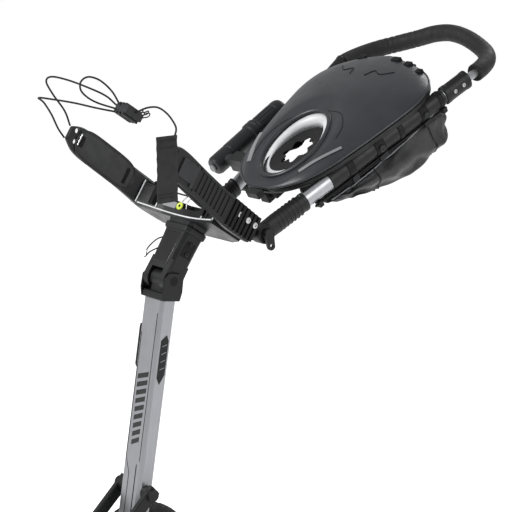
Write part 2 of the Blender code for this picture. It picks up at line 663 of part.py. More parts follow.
def make_side_tubes():
    start, end = 0.062, 0.4790
    wall = 0.0014
    for side, sign in (("left", 1), ("right", -1)):
        a, b = SIDE_TUBE
        outer = side_rings(sign, [(start, a, b), (end, a, b)])
        inner = side_rings(sign, [(start, a - wall, b - wall), (end, a - wall, b - wall)])
        add_object(f"side_tube_{side}", pipe(outer, inner), "silver", HANDLE_PIVOT)
        stations = [(-0.012, 0.0085, 0.0130), (0.006, 0.0105, 0.0200)]
        stations += [(0.030, 0.0112, 0.0205), (0.100, 0.0112, 0.0180)]
        sleeve = add_object(f"tube_sleeve_{side}", loft(side_rings(sign, stations)), "black", HANDLE_PIVOT)
        hub = [(0, 0), (0.0185, 0), (0.0185, 0.022), (0, 0.022)]
        join(sleeve, turned(HANDLE.at(sign * 0.070, 0, 0), (sign, 0, 0), hub, 20))
        cut(sleeve, loft(side_rings(sign, [(start - GAP, a + GAP, b + GAP), (0.12, a + GAP, b + GAP)])))
        cut(sleeve, rod(HANDLE.at(-0.15, 0, 0), HANDLE.at(0.15, 0, 0), ROD_RADIUS + GAP, 14))
        clamp_out = side_rings(sign, [(0.436, a + 0.0042, b + 0.0042), (0.4950, a + 0.0042, b + 0.0042)])
        clamp_in = side_rings(sign, [(0.436, a + GAP, b + GAP), (0.4950, a + GAP, b + GAP)])
        add_object(f"handle_clamp_{side}", pipe(clamp_out, clamp_in), "black", HANDLE_PIVOT)
    end = PIVOT_HALF + 0.0165
    profile = [(0, -end), (0.0085, -end), (0.0085, -end + 0.0035), (ROD_RADIUS, -end + 0.0035)]
    profile += [(ROD_RADIUS, end - 0.0035), (0.0085, end - 0.0035), (0.0085, end), (0, end)]
    add_object("handle_pivot_rod", turned(HANDLE_PIVOT, (1, 0, 0), profile, 16), "steel", HANDLE_PIVOT)


def loop_path():
    """Centre line of the handle loop, from the left clamp round to the right clamp."""
    half = [
        (0.1686, 0.4840, 0.000),
        (0.1700, 0.505, -0.002),
        (0.1640, 0.540, -0.010),
        (0.1480, 0.575, -0.018),
        (0.1200, 0.604, -0.023),
        (0.0800, 0.625, -0.021),
        (0.0400, 0.636, -0.014),
    ]
    points = half + [(0, 0.640, -0.011)] + [(-x, h, k) for x, h, k in reversed(half)]
    return smooth_path([HANDLE.at(*p) for p in points], 2)


def make_handle_loop():
    path = loop_path()
    up = HANDLE.axes[2]
    tube = loft(path_rings(path, LOOP_RADIUS, LOOP_RADIUS, 8, up))
    loop = add_object("handle_loop", tube, "silver", HANDLE_PIVOT)
    a, b = SIDE_TUBE
    for sign in (1, -1):
        plug = loft(side_rings(sign, [(0.4795, a, b - 0.001), (0.4925, a, b - 0.003)]))
        join(loop, plug)
    covered = path[3:-3]
    outer = path_rings(covered, GRIP_RADIUS, GRIP_RADIUS, 10, up)
    inner = path_rings(covered, LOOP_RADIUS + 3 * GAP, LOOP_RADIUS + 3 * GAP, 10, up)
    add_object("handle_grip", pipe(outer, inner), "foam", HANDLE_PIVOT)


# Half width of the console's outline against h
CONSOLE_EDGE = [
    (0.082, 0.0), (0.086, 0.030), (0.100, 0.062), (0.128, 0.094), (0.170, 0.116),
    (0.220, 0.130), (0.275, 0.143), (0.330, 0.154), (0.375, 0.159), (0.415, 0.151),
    (0.445, 0.128), (0.467, 0.090), (0.480, 0.040), (0.482, 0.0),
]


def console_half(h):
    for (h0, w0), (h1, w1) in zip(CONSOLE_EDGE, CONSOLE_EDGE[1:]):
        if h0 <= h <= h1:
            return w0 + (w1 - w0) * (h - h0) / (h1 - h0)
    return 0.0


def console_outline(inset):
    """Closed outline (x, h), moved in by the inset."""
    middle_h = 0.30
    right = []
    for h, w in CONSOLE_EDGE[1:-1]:
        shift = inset * (1 if h < middle_h else -1) * min(1.0, abs(h - middle_h) / 0.15)
        right.append((max(w - inset, 0.004), h + shift))
    return right + [(-x, h) for x, h in reversed(right)]


def lid_height(x, h):
    """Height of the lid's outer surface above the handle plane."""
    half = max(console_half(min(max(h, 0.0822), 0.4818)), 0.012)
    across = max(0.0, 1 - (abs(x) / half) ** 2.2)
    span, power = (0.245, 1.0) if h < LID_TOP_H else (0.185, 0.55)
    along = max(0.0, 1 - ((h - LID_TOP_H) / span) ** 2) ** power
    return RIM_LEVEL + 0.004 + LID_CROWN * across**0.7 * along


def make_console():
    rim = prism(console_outline(0.0), HANDLE, 0.0182, 0.0236)
    base = add_object("console_base", rim, "black", HANDLE_PIVOT)
    pan = [(0.068, 0.278), (0.095, 0.32), (0.112, 0.38), (0.110, 0.43), (0.085, 0.458)]
    pan = pan + [(-x, h) for x, h in reversed(pan)]
    join(base, prism(pan, HANDLE, -0.030, 0.0190))
    store = [(0.064, 0.284), (0.090, 0.33), (0.107, 0.38), (0.105, 0.425), (0.080, 0.452)]
    store = store + [(-x, h) for x, h in reversed(store)]
    cut(base, prism(store, HANDLE, -0.026, 0.05))
    wall = [(a, HOLE_CENTRE + b) for a, b in oval(HOLE_HALF[0] - 0.001, HOLE_HALF[1] - 0.001, 24)]
    join(base, prism(wall, HANDLE, 0.0080, 0.0330))
    hole = [(a, HOLE_CENTRE + b) for a, b in oval(HOLE_HALF[0] - 0.0045, HOLE_HALF[1] - 0.0045, 24)]
    cut(base, prism(hole, HANDLE, -0.06, 0.06))
    knuckle = [(LID_PIVOT_H - 0.012, 0.0185), (LID_PIVOT_H + 0.0045, 0.0185)]
    knuckle += [(LID_PIVOT_H + 0.0045, 0.0225), (LID_PIVOT_H - 0.012, 0.0225)]
    for x in (-0.040, 0.022):
        join(base, side_prism(knuckle, HANDLE, x, x + 0.018))


def lid_outline_grid(rows, columns, drop):
    """Points of the lid's surface, lowered by the drop."""
    grid = []
    for h in rows:
        places = [c * console_half(h) for c in columns]
        grid.append([HANDLE.at(x, h, lid_height(x, h) - drop) for x in places])
    return grid


def make_lid():
    """Domed lid: a thin shell with the cup hole through it."""
    rows = [0.0835, 0.093, 0.108, 0.130, 0.160, 0.195, 0.230, 0.270]
    rows += [0.310, 0.350, 0.385, 0.415, 0.440, 0.460, 0.4735, 0.4805]
    columns = [-1, -0.93, -0.80, -0.58, -0.30, 0, 0.30, 0.58, 0.80, 0.93, 1]
    top = lid_outline_grid(rows, columns, 0)
    bottom = lid_outline_grid(rows, columns, LID_THICKNESS)
    bm = bmesh.new()
    top, bottom = [[[bm.verts.new(p) for p in line] for line in grid] for grid in (top, bottom)]
    last = len(columns) - 1
    for i in range(len(rows) - 1):
        for j in range(last):
            bm.faces.new((top[i][j], top[i][j + 1], top[i + 1][j + 1], top[i + 1][j]))
            bm.faces.new((bottom[i][j], bottom[i + 1][j], bottom[i + 1][j + 1], bottom[i][j + 1]))
        bm.faces.new((top[i][0], top[i + 1][0], bottom[i + 1][0], bottom[i][0]))
        bm.faces.new((top[i][last], bottom[i][last], bottom[i + 1][last], top[i + 1][last]))
    for j in range(last):
        bm.faces.new((top[0][j], bottom[0][j], bottom[0][j + 1], top[0][j + 1]))
        bm.faces.new((top[-1][j], top[-1][j + 1], bottom[-1][j + 1], bottom[-1][j]))
    lid = add_object("console_lid", bm, "charcoal", HANDLE.at(0, LID_PIVOT_H, 0.0215))
    hole = [(a, HOLE_CENTRE + b) for a, b in oval(HOLE_HALF[0] + 0.002, HOLE_HALF[1] + 0.002, 28)]
    cut(lid, prism(hole, HANDLE, 0.0, 0.12))


def make_cup_insert():
    """Rubber ring with soft fingers that grip a cup."""
    outer = oval(HOLE_HALF[0] - 0.0056, HOLE_HALF[1] - 0.0056, 32)
    inner = []
    for i, (a, b) in enumerate(outer):
        scale = 0.62 if i % 4 in (1, 2) else 0.88
        inner.append((a * scale, b * (1 - (1 - scale) * 0.6)))
    rings_out = [[HANDLE.at(a, HOLE_CENTRE + b, k) for a, b in outer] for k in (0.0125, 0.0160)]
    rings_in = [[HANDLE.at(a, HOLE_CENTRE + b, k) for a, b in inner] for k in (0.0125, 0.0160)]
    add_object("cup_insert", pipe(rings_out, rings_in), "rubber", HANDLE_PIVOT)


def make_lid_latch():
    tab = [(-0.016, 0.064), (0.016, 0.064), (0.020, 0.0785), (-0.020, 0.0785)]
    add_object("lid_latch", prism(tab, HANDLE, 0.0150, 0.0290), "black", HANDLE_PIVOT)


def make_bag():
    """Accessory bag slung under the console: one closed soft solid."""
    stations = [
        # h, right edge, left edge, top k, bottom k
        (0.140, 0.030, 0.112, -0.0300, -0.040),
        (0.170, -0.020, 0.118, -0.0330, -0.052),
        (0.205, -0.060, 0.120, -0.0345, -0.068),
        (0.250, -0.080, 0.122, -0.0345, -0.094),
        (0.300, -0.094, 0.124, -0.0345, -0.118),
        (0.350, -0.102, 0.125, -0.0345, -0.130),
        (0.400, -0.104, 0.125, -0.0345, -0.136),
        (0.445, -0.102, 0.122, -0.0345, -0.138),
        (0.470, -0.092, 0.114, -0.0345, -0.122),
        (0.484, -0.078, 0.100, -0.0345, -0.090),
    ]
    rings = []
    for h, right, left, top, bottom in stations:
        centre, half = (left + right) / 2, (left - right) / 2
        middle, reach = (top + bottom) / 2, (top - bottom) / 2
        rings.append([HANDLE.at(centre + a, h, middle + b) for a, b in oval(half, reach, 12, 0.6)])
    add_object("accessory_bag", loft(rings), "fabric", HANDLE_PIVOT)


UMBRELLA_X, UMBRELLA_R = -0.2030, 0.0205
UMBRELLA_BORE = UMBRELLA_R - 0.0055


def make_umbrella_holder():
    far = -tube_centre(0.165)
    clasp = block(HANDLE, (far - 0.0135, 0.146, -0.020), (far + 0.0135, 0.182, 0.0172))
    bracket = add_object("umbrella_bracket", clasp, "black", HANDLE_PIVOT)
    arm = [(0.151, -0.014), (0.178, -0.014), (0.178, 0.014), (0.151, 0.014)]
    join(bracket, side_prism(arm, HANDLE, -0.1700, far - 0.010))
    a, b = SIDE_TUBE
    cut(bracket, loft(side_rings(-1, [(0.13, a + GAP, b + GAP), (0.20, a + GAP, b + GAP)])))
    pivot = HANDLE.at(0, 0.1645, 0)
    cut(bracket, rod(pivot + Vector((-0.2, 0, 0)), pivot + Vector((-0.150, 0, 0)), 0.0045, 14))

    axis = HANDLE.axes[1]
    origin = HANDLE.at(UMBRELLA_X, 0, 0)
    r = UMBRELLA_R
    profile = [(0, 0.135), (r - 0.004, 0.135), (r, 0.142), (r, 0.243)]
    profile += [(r + 0.0025, 0.245), (r + 0.0025, 0.262), (r, 0.264), (r, 0.328)]
    profile += [(r - 0.003, 0.336), (UMBRELLA_BORE, 0.338), (UMBRELLA_BORE, 0.150), (0, 0.150)]
    holder = add_object("umbrella_holder", turned(origin, axis, profile, 18), "charcoal", pivot)
    lug = [(0, 0), (0.0125, 0), (0.0125, 0.018), (0, 0.018)]
    join(holder, turned(pivot + Vector((-0.1705, 0, 0)), (-1, 0, 0), lug, 16))
    bore = [(0, 0.1501), (UMBRELLA_BORE, 0.1501), (UMBRELLA_BORE, 0.4), (0, 0.4)]
    cut(holder, turned(origin, axis, bore, 18))
    cut(holder, rod(pivot + Vector((-0.20, 0, 0)), pivot + Vector((-0.16, 0, 0)), 0.0045, 14))
    stud = [(0, 0.1500), (0.0030, 0.1500), (0.0042, 0.1505), (0.0042, 0.1790), (0, 0.1790)]
    add_object("umbrella_stud", turned(pivot, (-1, 0, 0), stud, 14), "steel", pivot)


def make_handle_lock():
    """Lever that locks the handle's tilt, hanging at the left pivot."""
    x = PIVOT_HALF + 0.0170
    upright = Frame(HANDLE_PIVOT, (1, 0, 0), (0, 1, 0), (0, 0, 1))
    lever = side_prism(arc((0, 0), 0.0115, 0, 337.5, 15), upright, x, x + 0.005)
    lever = add_object("handle_lock_lever", lever, "black", HANDLE_PIVOT)
    paddle = [(-0.010, -0.004)] + arc((0.004, -0.020), 0.009, 200, 340, 6) + [(0.010, -0.004)]
    join(lever, side_prism(paddle, upright, x + 0.0003, x + 0.0047))
    cut(lever, rod(upright.at(0, 0.004, -0.020), upright.at(0.2, 0.004, -0.020), 0.0032, 12))


def main():
    clear_scene()
    make_main_tube()
    make_fold_joint()
    make_chassis()
    make_battery()
    make_power_button()
    make_rear_wheels()
    make_front_arm()
    make_front_wheel()
    make_lower_support()
    make_bag_bracket()
    make_bracket_arms()
    make_strap_and_hook()
    make_cords()
    make_side_tubes()
    make_handle_loop()
    make_console()
    make_lid()
    make_cup_insert()
    make_lid_latch()
    make_bag()
    make_umbrella_holder()
    make_handle_lock()


main()
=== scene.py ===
"""Looks of the golf trolley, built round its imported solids.

Metres, +Z up, the trolley's front towards -Y and its left side towards +X.
"""

import json
import math

import bmesh
import bpy
from mathutils import Matrix, Vector, noise


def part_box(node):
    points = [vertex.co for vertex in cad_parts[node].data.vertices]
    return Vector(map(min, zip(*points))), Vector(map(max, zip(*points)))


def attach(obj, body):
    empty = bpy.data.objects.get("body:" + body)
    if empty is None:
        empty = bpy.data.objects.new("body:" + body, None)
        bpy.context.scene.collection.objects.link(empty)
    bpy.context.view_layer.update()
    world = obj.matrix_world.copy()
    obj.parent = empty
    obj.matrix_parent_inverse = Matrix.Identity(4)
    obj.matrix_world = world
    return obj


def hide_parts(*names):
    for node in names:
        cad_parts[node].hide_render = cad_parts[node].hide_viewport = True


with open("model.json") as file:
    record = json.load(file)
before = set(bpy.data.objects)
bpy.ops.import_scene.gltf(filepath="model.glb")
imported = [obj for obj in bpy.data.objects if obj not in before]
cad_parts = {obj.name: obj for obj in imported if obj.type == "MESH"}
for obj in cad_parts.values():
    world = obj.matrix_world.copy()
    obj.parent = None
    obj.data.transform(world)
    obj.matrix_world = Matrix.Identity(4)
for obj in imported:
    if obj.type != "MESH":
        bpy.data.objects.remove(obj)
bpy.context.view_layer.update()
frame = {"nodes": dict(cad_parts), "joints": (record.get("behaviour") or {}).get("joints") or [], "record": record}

PIVOTS = {j["name"]: Vector(j["pos_m"]) for j in frame["joints"] if "pos_m" in j}
BODY_OF = {node: body for body, nodes in frame["record"]["behaviour"]["bodies"].items() for node in nodes}
TUBE_LEAN, NECK_LEAN, HANDLE_RISE = (math.radians(a) for a in (9.6, 33.4, 30.8))
NECK_LENGTH = 0.108


# ---------------------------------------------------------------- frames


class Frame:
    """A right-handed local frame: at(a, b, c) gives the world point."""

    def __init__(self, origin, x_axis, y_axis, z_axis):
        self.origin = Vector(origin)
        self.axes = [Vector(x_axis), Vector(y_axis), Vector(z_axis)]

    def at(self, a, b, c):
        return self.origin + self.axes[0] * a + self.axes[1] * b + self.axes[2] * c

    def turned(self, angle, axis=2):
        """The same origin with the other two axes turned about one of its own."""
        spin = Matrix.Rotation(angle, 3, self.axes[axis])
        return Frame(self.origin, *(spin @ a for a in self.axes))

    def moved(self, a, b, c):
        """The same axes with the origin moved by a step in this frame."""
        return Frame(self.at(a, b, c), *self.axes)


def leaning(origin, lean):
    """Frame whose z leans back by the angle, with y square to it towards the rear."""
    up = (0, math.sin(lean), math.cos(lean))
    rear = (0, math.cos(lean), -math.sin(lean))
    return Frame(origin, (1, 0, 0), rear, up)


WORLD = Frame((0, 0, 0), (1, 0, 0), (0, 1, 0), (0, 0, 1))
TUBE = leaning(PIVOTS["main_fold"], TUBE_LEAN)
NECK = leaning(PIVOTS["main_fold"], NECK_LEAN)
BRACKET = leaning(NECK.at(0, 0, NECK_LENGTH), NECK_LEAN)
HANDLE = Frame(
    PIVOTS["handle_tilt"],
    (1, 0, 0),
    (0, math.cos(HANDLE_RISE), math.sin(HANDLE_RISE)),
    (0, -math.sin(HANDLE_RISE), math.cos(HANDLE_RISE)),
)


# ---------------------------------------------------------------- materials


def material(name, colour, roughness, metallic=0.0, **settings):
    """Principled material; settings name further inputs, with _ for a space."""
    made = bpy.data.materials.new(name)
    made.use_nodes = True
    shader = made.node_tree.nodes["Principled BSDF"]
    shader.inputs["Base Color"].default_value = (*colour, 1)
    shader.inputs["Roughness"].default_value = roughness
    shader.inputs["Metallic"].default_value = metallic
    for key, value in settings.items():
        shader.inputs[key.replace("_", " ")].default_value = value
    return made


def node(made, kind, links=(), **settings):
    """Adds a node; links maps its inputs to other nodes' outputs."""
    added = made.node_tree.nodes.new(kind)
    for key, value in settings.items():
        if key in added.inputs:
            added.inputs[key].default_value = value
        else:
            setattr(added, key, value)
    for target, (source, output) in dict(links).items():
        made.node_tree.links.new(source.outputs[output], added.inputs[target])
    return added


def coordinates(made, scale=(1, 1, 1), rotation=(0, 0, 0)):
    """Object coordinates, turned and then scaled."""
    place = node(made, "ShaderNodeTexCoord")
    turn = node(made, "ShaderNodeMapping", {"Vector": (place, "Object")}, Rotation=rotation)
    return node(made, "ShaderNodeMapping", {"Vector": (turn, "Vector")}, Scale=scale)


def noise_on(made, place, scale, detail=4.0, roughness=0.55):
    """Noise texture over the given coordinates."""
    links = {"Vector": (place, "Vector")}
    return node(made, "ShaderNodeTexNoise", links, Scale=scale, Detail=detail, Roughness=roughness)


def ramp(made, source, output, stops):
    """Colour ramp over the source, from (position, colour or grey) stops."""
    added = node(made, "ShaderNodeValToRGB", {"Fac": (source, output)})
    elements = added.color_ramp.elements
    while len(elements) < len(stops):
        elements.new(0.5)
    for element, (position, colour) in zip(elements, stops):
        element.position = position
        element.color = (*colour, 1) if isinstance(colour, tuple) else (colour, colour, colour, 1)
    return added


def shade(made, target, source, output="Color"):
    """Feeds one input of the material's shader."""
    shader = made.node_tree.nodes["Principled BSDF"]
    made.node_tree.links.new(source.outputs[output], shader.inputs[target])


def mottle(made, place, colour, scale, spread=0.25):
    """Base colour that drifts a little either way over the surface."""
    dark = tuple(c * (1 - spread) for c in colour)
    light = tuple(min(1, c * (1 + spread)) for c in colour)
    shade(made, "Base Color", ramp(made, noise_on(made, place, scale), "Fac", [(0.3, dark), (0.7, light)]))


def roughen(made, place, scale, low, high):
    """Roughness that wanders between low and high."""
    shade(made, "Roughness", ramp(made, noise_on(made, place, scale, 6), "Fac", [(0.3, low), (0.7, high)]))


def bump(made, source, output, distance, strength=1.0, under=None):
    """Bump from a height, on top of another bump where one is given."""
    links = {"Height": (source, output)}
    if under:
        links["Normal"] = (under, "Normal")
    return node(made, "ShaderNodeBump", links, Distance=distance, Strength=strength)


def moulded(name, colour, rough, grain=1400, depth=0.00012, **settings):
    """Injection-moulded plastic: spark-eroded grain, faint flow marks, handling gloss."""
    made = material(name, colour, sum(rough) / 2, **settings)
    place = coordinates(made)
    mottle(made, place, colour, 14, 0.18)
    roughen(made, place, 38, *rough)
    fine = bump(made, noise_on(made, place, grain, 2), "Fac", depth)
    broad = bump(made, noise_on(made, place, 60, 3), "Fac", 0.0002, 0.6, fine)
    shade(made, "Normal", broad, "Normal")
    return made


def drawn_metal(name, colour, rough, turn=(0, 0, 0), stretch=(900, 900, 7), metallic=0.9, depth=0.00005):
    """Extruded and anodised metal: fine die lines along its length."""
    made = material(name, colour, sum(rough) / 2, metallic)
    place = coordinates(made, stretch, turn)
    lines = noise_on(made, place, 1.0, 3)
    low, high = tuple(c * 0.9 for c in colour), tuple(min(1, c * 1.08) for c in colour)
    shade(made, "Base Color", ramp(made, lines, "Fac", [(0.25, low), (0.75, high)]))
    roughen(made, coordinates(made), 45, *rough)
    shade(made, "Normal", bump(made, lines, "Fac", depth, 0.5), "Normal")
    return made


def rubbery(name, colour, rough, cells, depth):
    """Rubber or foam: small closed cells over a soft, dusty surface."""
    made = material(name, colour, sum(rough) / 2, Specular_IOR_Level=0.3)
    place = coordinates(made)
    mottle(made, place, colour, 22, 0.3)
    roughen(made, place, 70, *rough)
    pores = node(made, "ShaderNodeTexVoronoi", {"Vector": (place, "Vector")}, Scale=cells)
    fine = bump(made, pores, "Distance", depth, 0.8)
    shade(made, "Normal", bump(made, noise_on(made, place, cells / 3, 4), "Fac", depth, 0.5, fine), "Normal")
    return made


def woven(name, colour, threads, depth, rough=(0.72, 0.9), turn=(0, 0, 0)):
    """Plain weave: two sets of threads that cross."""
    made = material(name, colour, sum(rough) / 2, Specular_IOR_Level=0.5, Sheen_Weight=0.02)
    place = coordinates(made, rotation=turn)
    mottle(made, place, colour, 30, 0.35)
    roughen(made, place, 60, *rough)
    links = {"Vector": (place, "Vector")}
    last = None
    for direction in ("X", "Y", "Z"):
        bands = node(made, "ShaderNodeTexWave", links, Scale=threads, Distortion=0.6)
        bands.bands_direction = direction
        last = bump(made, bands, "Fac", depth, 0.6, last)
    crease = bump(made, noise_on(made, place, 26, 5), "Fac", 0.0012, 0.5, last)
    shade(made, "Normal", crease, "Normal")
    return made


def braided(name, colour):
    """Braided sheath of an elastic cord."""
    made = material(name, colour, 0.6, Specular_IOR_Level=0.25)
    place = coordinates(made)
    mottle(made, place, colour, 400, 0.5)
    last = None
    for turn in (0.7, -0.7):
        skew = coordinates(made, rotation=(turn, turn, 0.4))
        bands = node(made, "ShaderNodeTexWave", {"Vector": (skew, "Vector")}, Scale=260)
        last = bump(made, bands, "Fac", 0.0003, 0.8, last)
    shade(made, "Normal", last, "Normal")
    return made


def lacquered_board(name):
    """Green board with a grid of pale tracks."""
    made = material(name, (0.02, 0.12, 0.05), 0.25)
    place = coordinates(made)
    tracks = node(made, "ShaderNodeTexBrick", {"Vector": (place, "Vector")}, Scale=180)
    tracks.inputs["Color1"].default_value = (0.02, 0.12, 0.05, 1)
    tracks.inputs["Color2"].default_value = (0.03, 0.16, 0.07, 1)
    tracks.inputs["Mortar"].default_value = (0.35, 0.3, 0.1, 1)
    shade(made, "Base Color", tracks)
    return made


TUBE_TURN = (TUBE_LEAN, 0, 0)
M = {
    "main_tube": drawn_metal("satin_aluminium", (0.285, 0.288, 0.305), (0.36, 0.48), TUBE_TURN),
    "bright_tube": drawn_metal(
        "bright_aluminium", (0.33, 0.335, 0.35), (0.34, 0.44), (-HANDLE_RISE, 0, 0), (900, 7, 900)
    ),
    "axle_tube": drawn_metal("axle_aluminium", (0.3, 0.305, 0.32), (0.3, 0.42), (0, 0, 0), (7, 900, 900)),
    "steel": drawn_metal("steel", (0.5, 0.5, 0.51), (0.26, 0.38), (0, 0, 0), (300, 300, 300), 1.0),
    "black": moulded("black_plastic", (0.0052, 0.0054, 0.0059), (0.36, 0.52), Specular_IOR_Level=0.25),
    "deep_black": moulded(
        "deep_black_plastic", (0.0028, 0.0028, 0.003), (0.45, 0.6), Specular_IOR_Level=0.16
    ),
    "gloss_black": moulded(
        "gloss_black", (0.005, 0.005, 0.0055), (0.2, 0.28), 900, 0.00003, Specular_IOR_Level=0.4
    ),
    "charcoal": moulded(
        "charcoal_plastic", (0.019, 0.0202, 0.024), (0.32, 0.44), 1800, 0.00005, Specular_IOR_Level=0.38
    ),
    "dark_grey": moulded("dark_grey_plastic", (0.0095, 0.01, 0.0112), (0.36, 0.5), Specular_IOR_Level=0.3),
    "grey": moulded("grey_plastic", (0.16, 0.165, 0.17), (0.4, 0.52), Specular_IOR_Level=0.4),
    "pale": moulded("pale_plastic", (0.5, 0.51, 0.52), (0.38, 0.5)),
    "signal": moulded("signal_plastic", (0.42, 0.5, 0.03), (0.35, 0.45)),
    "rubber": rubbery("rubber", (0.0065, 0.0065, 0.007), (0.55, 0.75), 900, 0.00012),
    "pad": rubbery("pad_rubber", (0.015, 0.0152, 0.0165), (0.42, 0.58), 1300, 0.00005),
    "foam": rubbery("grip_foam", (0.0085, 0.0085, 0.009), (0.58, 0.8), 700, 0.00022),
    "tyre": rubbery("tyre_rubber", (0.009, 0.009, 0.0095), (0.6, 0.85), 500, 0.0002),
    "fabric": woven(
        "bag_fabric", (0.0048, 0.005, 0.0054), 620, 0.00008, (0.34, 0.5), turn=(-HANDLE_RISE, 0, 0)
    ),
    "webbing": woven("strap_webbing", (0.0065, 0.0065, 0.007), 380, 0.0003),
    "piping": woven("piping", (0.16, 0.165, 0.18), 700, 0.0001, (0.35, 0.5)),
    "cord": braided("cord_sheath", (0.006, 0.006, 0.0065)),
    "board": lacquered_board("circuit_board"),
}


# ---------------------------------------------------------------- mesh tools


def loft(rings, capped=True, round_again=False):
    """Skin through rings of points; round_again joins the last ring to the first."""
    bm = bmesh.new()
    rows = [[bm.verts.new(point) for point in ring] for ring in rings]
    pairs = list(zip(rows, rows[1:] + rows[:1])) if round_again else list(zip(rows, rows[1:]))
    for lower, upper in pairs:
        for i in range(len(lower)):
            j = (i + 1) % len(lower)
            bm.faces.new((lower[i], lower[j], upper[j], upper[i]))
    if capped and not round_again:
        bm.faces.new(list(reversed(rows[0])))
        bm.faces.new(rows[-1])
    return bm


def pipe(outer, inner):
    """Wall between an outer and an inner list of rings."""
    return loft(outer + list(reversed(inner)), round_again=True)


def prism(outline, place, low, high):
    """Outline in the frame's first two axes, run from low to high along the third."""
    return loft([[place.at(a, b, c) for a, b in outline] for c in (low, high)])


def block(place, low, high):
    """Box between two corners in the frame."""
    outline = [(low[0], low[1]), (high[0], low[1]), (high[0], high[1]), (low[0], high[1])]
    return prism(outline, place, low[2], high[2])


def axis_frame(origin, axis):
    """Frame at the origin whose third axis runs along the given one."""
    along = Vector(axis).normalized()
    side = Vector((0, 0, 1)) if abs(along.z) < 0.9 else Vector((1, 0, 0))
    x_axis = side.cross(along).normalized()
    return Frame(origin, x_axis, along.cross(x_axis), along)


def turned(origin, axis, profile, steps=48):
    """Solid of revolution of (radius, along) points; a closed loop unless it starts on the axis."""
    place = axis_frame(origin, axis)
    open_ended = profile[0][0] < 1e-7
    line = profile[1:-1] if open_ended else profile
    rings = []
    for radius, along in line:
        angles = [2 * math.pi * i / steps for i in range(steps)]
        rings.append([place.at(radius * math.cos(a), radius * math.sin(a), along) for a in angles])
    return loft(rings) if open_ended else loft(rings, round_again=True)


def rod(start, end, radius, steps=24):
    """Round bar between two points."""
    axis = Vector(end) - Vector(start)
    return turned(start, axis, [(0, 0), (radius, 0), (radius, axis.length), (0, axis.length)], steps)


def oval(half_a, half_b, count, power=1.0):
    """Points round a superellipse; a power under 1 squares it."""
    points = []
    for i in range(count):
        angle = 2 * math.pi * (i + 0.5) / count
        c, s = math.cos(angle), math.sin(angle)
        a = half_a * math.copysign(abs(c) ** power, c)
        b = half_b * math.copysign(abs(s) ** power, s)
        points.append((a, b))
    return points


def chamfered(half_a, half_b, cut_by):
    """Rectangle with its corners cut off."""
    a, b, c = half_a, half_b, cut_by
    right = [(a - c, -b), (a, -b + c), (a, b - c), (a - c, b)]
    return right + [(-x, -y) for x, y in right]


def smooth_path(points, steps):
    """Catmull-Rom curve through the points."""
    points = [Vector(p) for p in points]
    padded = [2 * points[0] - points[1]] + points + [2 * points[-1] - points[-2]]
    path = []
    for p0, p1, p2, p3 in zip(padded, padded[1:], padded[2:], padded[3:]):
        for i in range(steps):
            t = i / steps
            path.append(
                0.5 * (2 * p1 + (p2 - p0) * t + (2 * p0 - 5 * p1 + 4 * p2 - p3) * t**2)
                + 0.5 * (3 * p1 - p0 - 3 * p2 + p3) * t**3
            )
    path.append(points[-1])
    return path


def path_rings(path, half_side, half_up, steps, up):
    """Rings round the path, whose sizes may be numbers or functions of the share travelled."""
    rings = []
    last = len(path) - 1
    for i, point in enumerate(path):
        along = (path[min(i + 1, last)] - path[max(i - 1, 0)]).normalized()
        side = along.cross(Vector(up)).normalized()
        top = side.cross(along)
        a_half = half_side(i / last) if callable(half_side) else half_side
        b_half = half_up(i / last) if callable(half_up) else half_up
        rings.append([point + side * a + top * b for a, b in oval(a_half, b_half, steps)])
    return rings


def merge(*meshes):
    """One bmesh of several separate bodies."""
    whole = meshes[0]
    for bm in meshes[1:]:
        mesh = bpy.data.meshes.new("part")
        bm.to_mesh(mesh)
        bm.free()
        whole.from_mesh(mesh)
        bpy.data.meshes.remove(mesh)
    return whole


def piece(name, bm, paint, body, stands_for=(), bevel=0.0, segments=2, angle=32):
    """Makes the bmesh, given in world space, into a finished piece of the trolley."""
    bmesh.ops.recalc_face_normals(bm, faces=bm.faces)
    mesh = bpy.data.meshes.new(name)
    bm.to_mesh(mesh)
    bm.free()
    mesh.materials.append(M[paint])
    mesh.shade_smooth()
    mesh.set_sharp_from_angle(angle=math.radians(angle))
    made = bpy.data.objects.new(name, mesh)
    bpy.context.scene.collection.objects.link(made)
    if bevel:
        edge = made.modifiers.new("edges", "BEVEL")
        edge.width = bevel
        edge.segments = segments
        edge.limit_method = "ANGLE"
        edge.angle_limit = math.radians(angle)
        even = made.modifiers.new("normals", "WEIGHTED_NORMAL")
        even.keep_sharp = True
    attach(made, body)
    if stands_for:
        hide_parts(*stands_for)
    return made


def refine(name, paint, bevel=0.0008, segments=2):
    """Stands for a CAD node with the same shape, cleaned and with rounded edges."""
    bm = bmesh.new()
    bm.from_mesh(frame["nodes"][name].data)
    bmesh.ops.remove_doubles(bm, verts=bm.verts, dist=2e-6)
    bmesh.ops.dissolve_limit(bm, angle_limit=math.radians(0.8), verts=bm.verts, edges=bm.edges)
    return piece(f"{name}_finished", bm, paint, BODY_OF[name], (name,), bevel, segments)


# ---------------------------------------------------------------- stage

AZIMUTH, ELEVATION, DISTANCE = math.radians(50.07), math.radians(12.54), 3.314
LENS, SENSOR = 128.2, 36.0
AIM_SIDE, AIM_HEIGHT = 0.082, 0.825


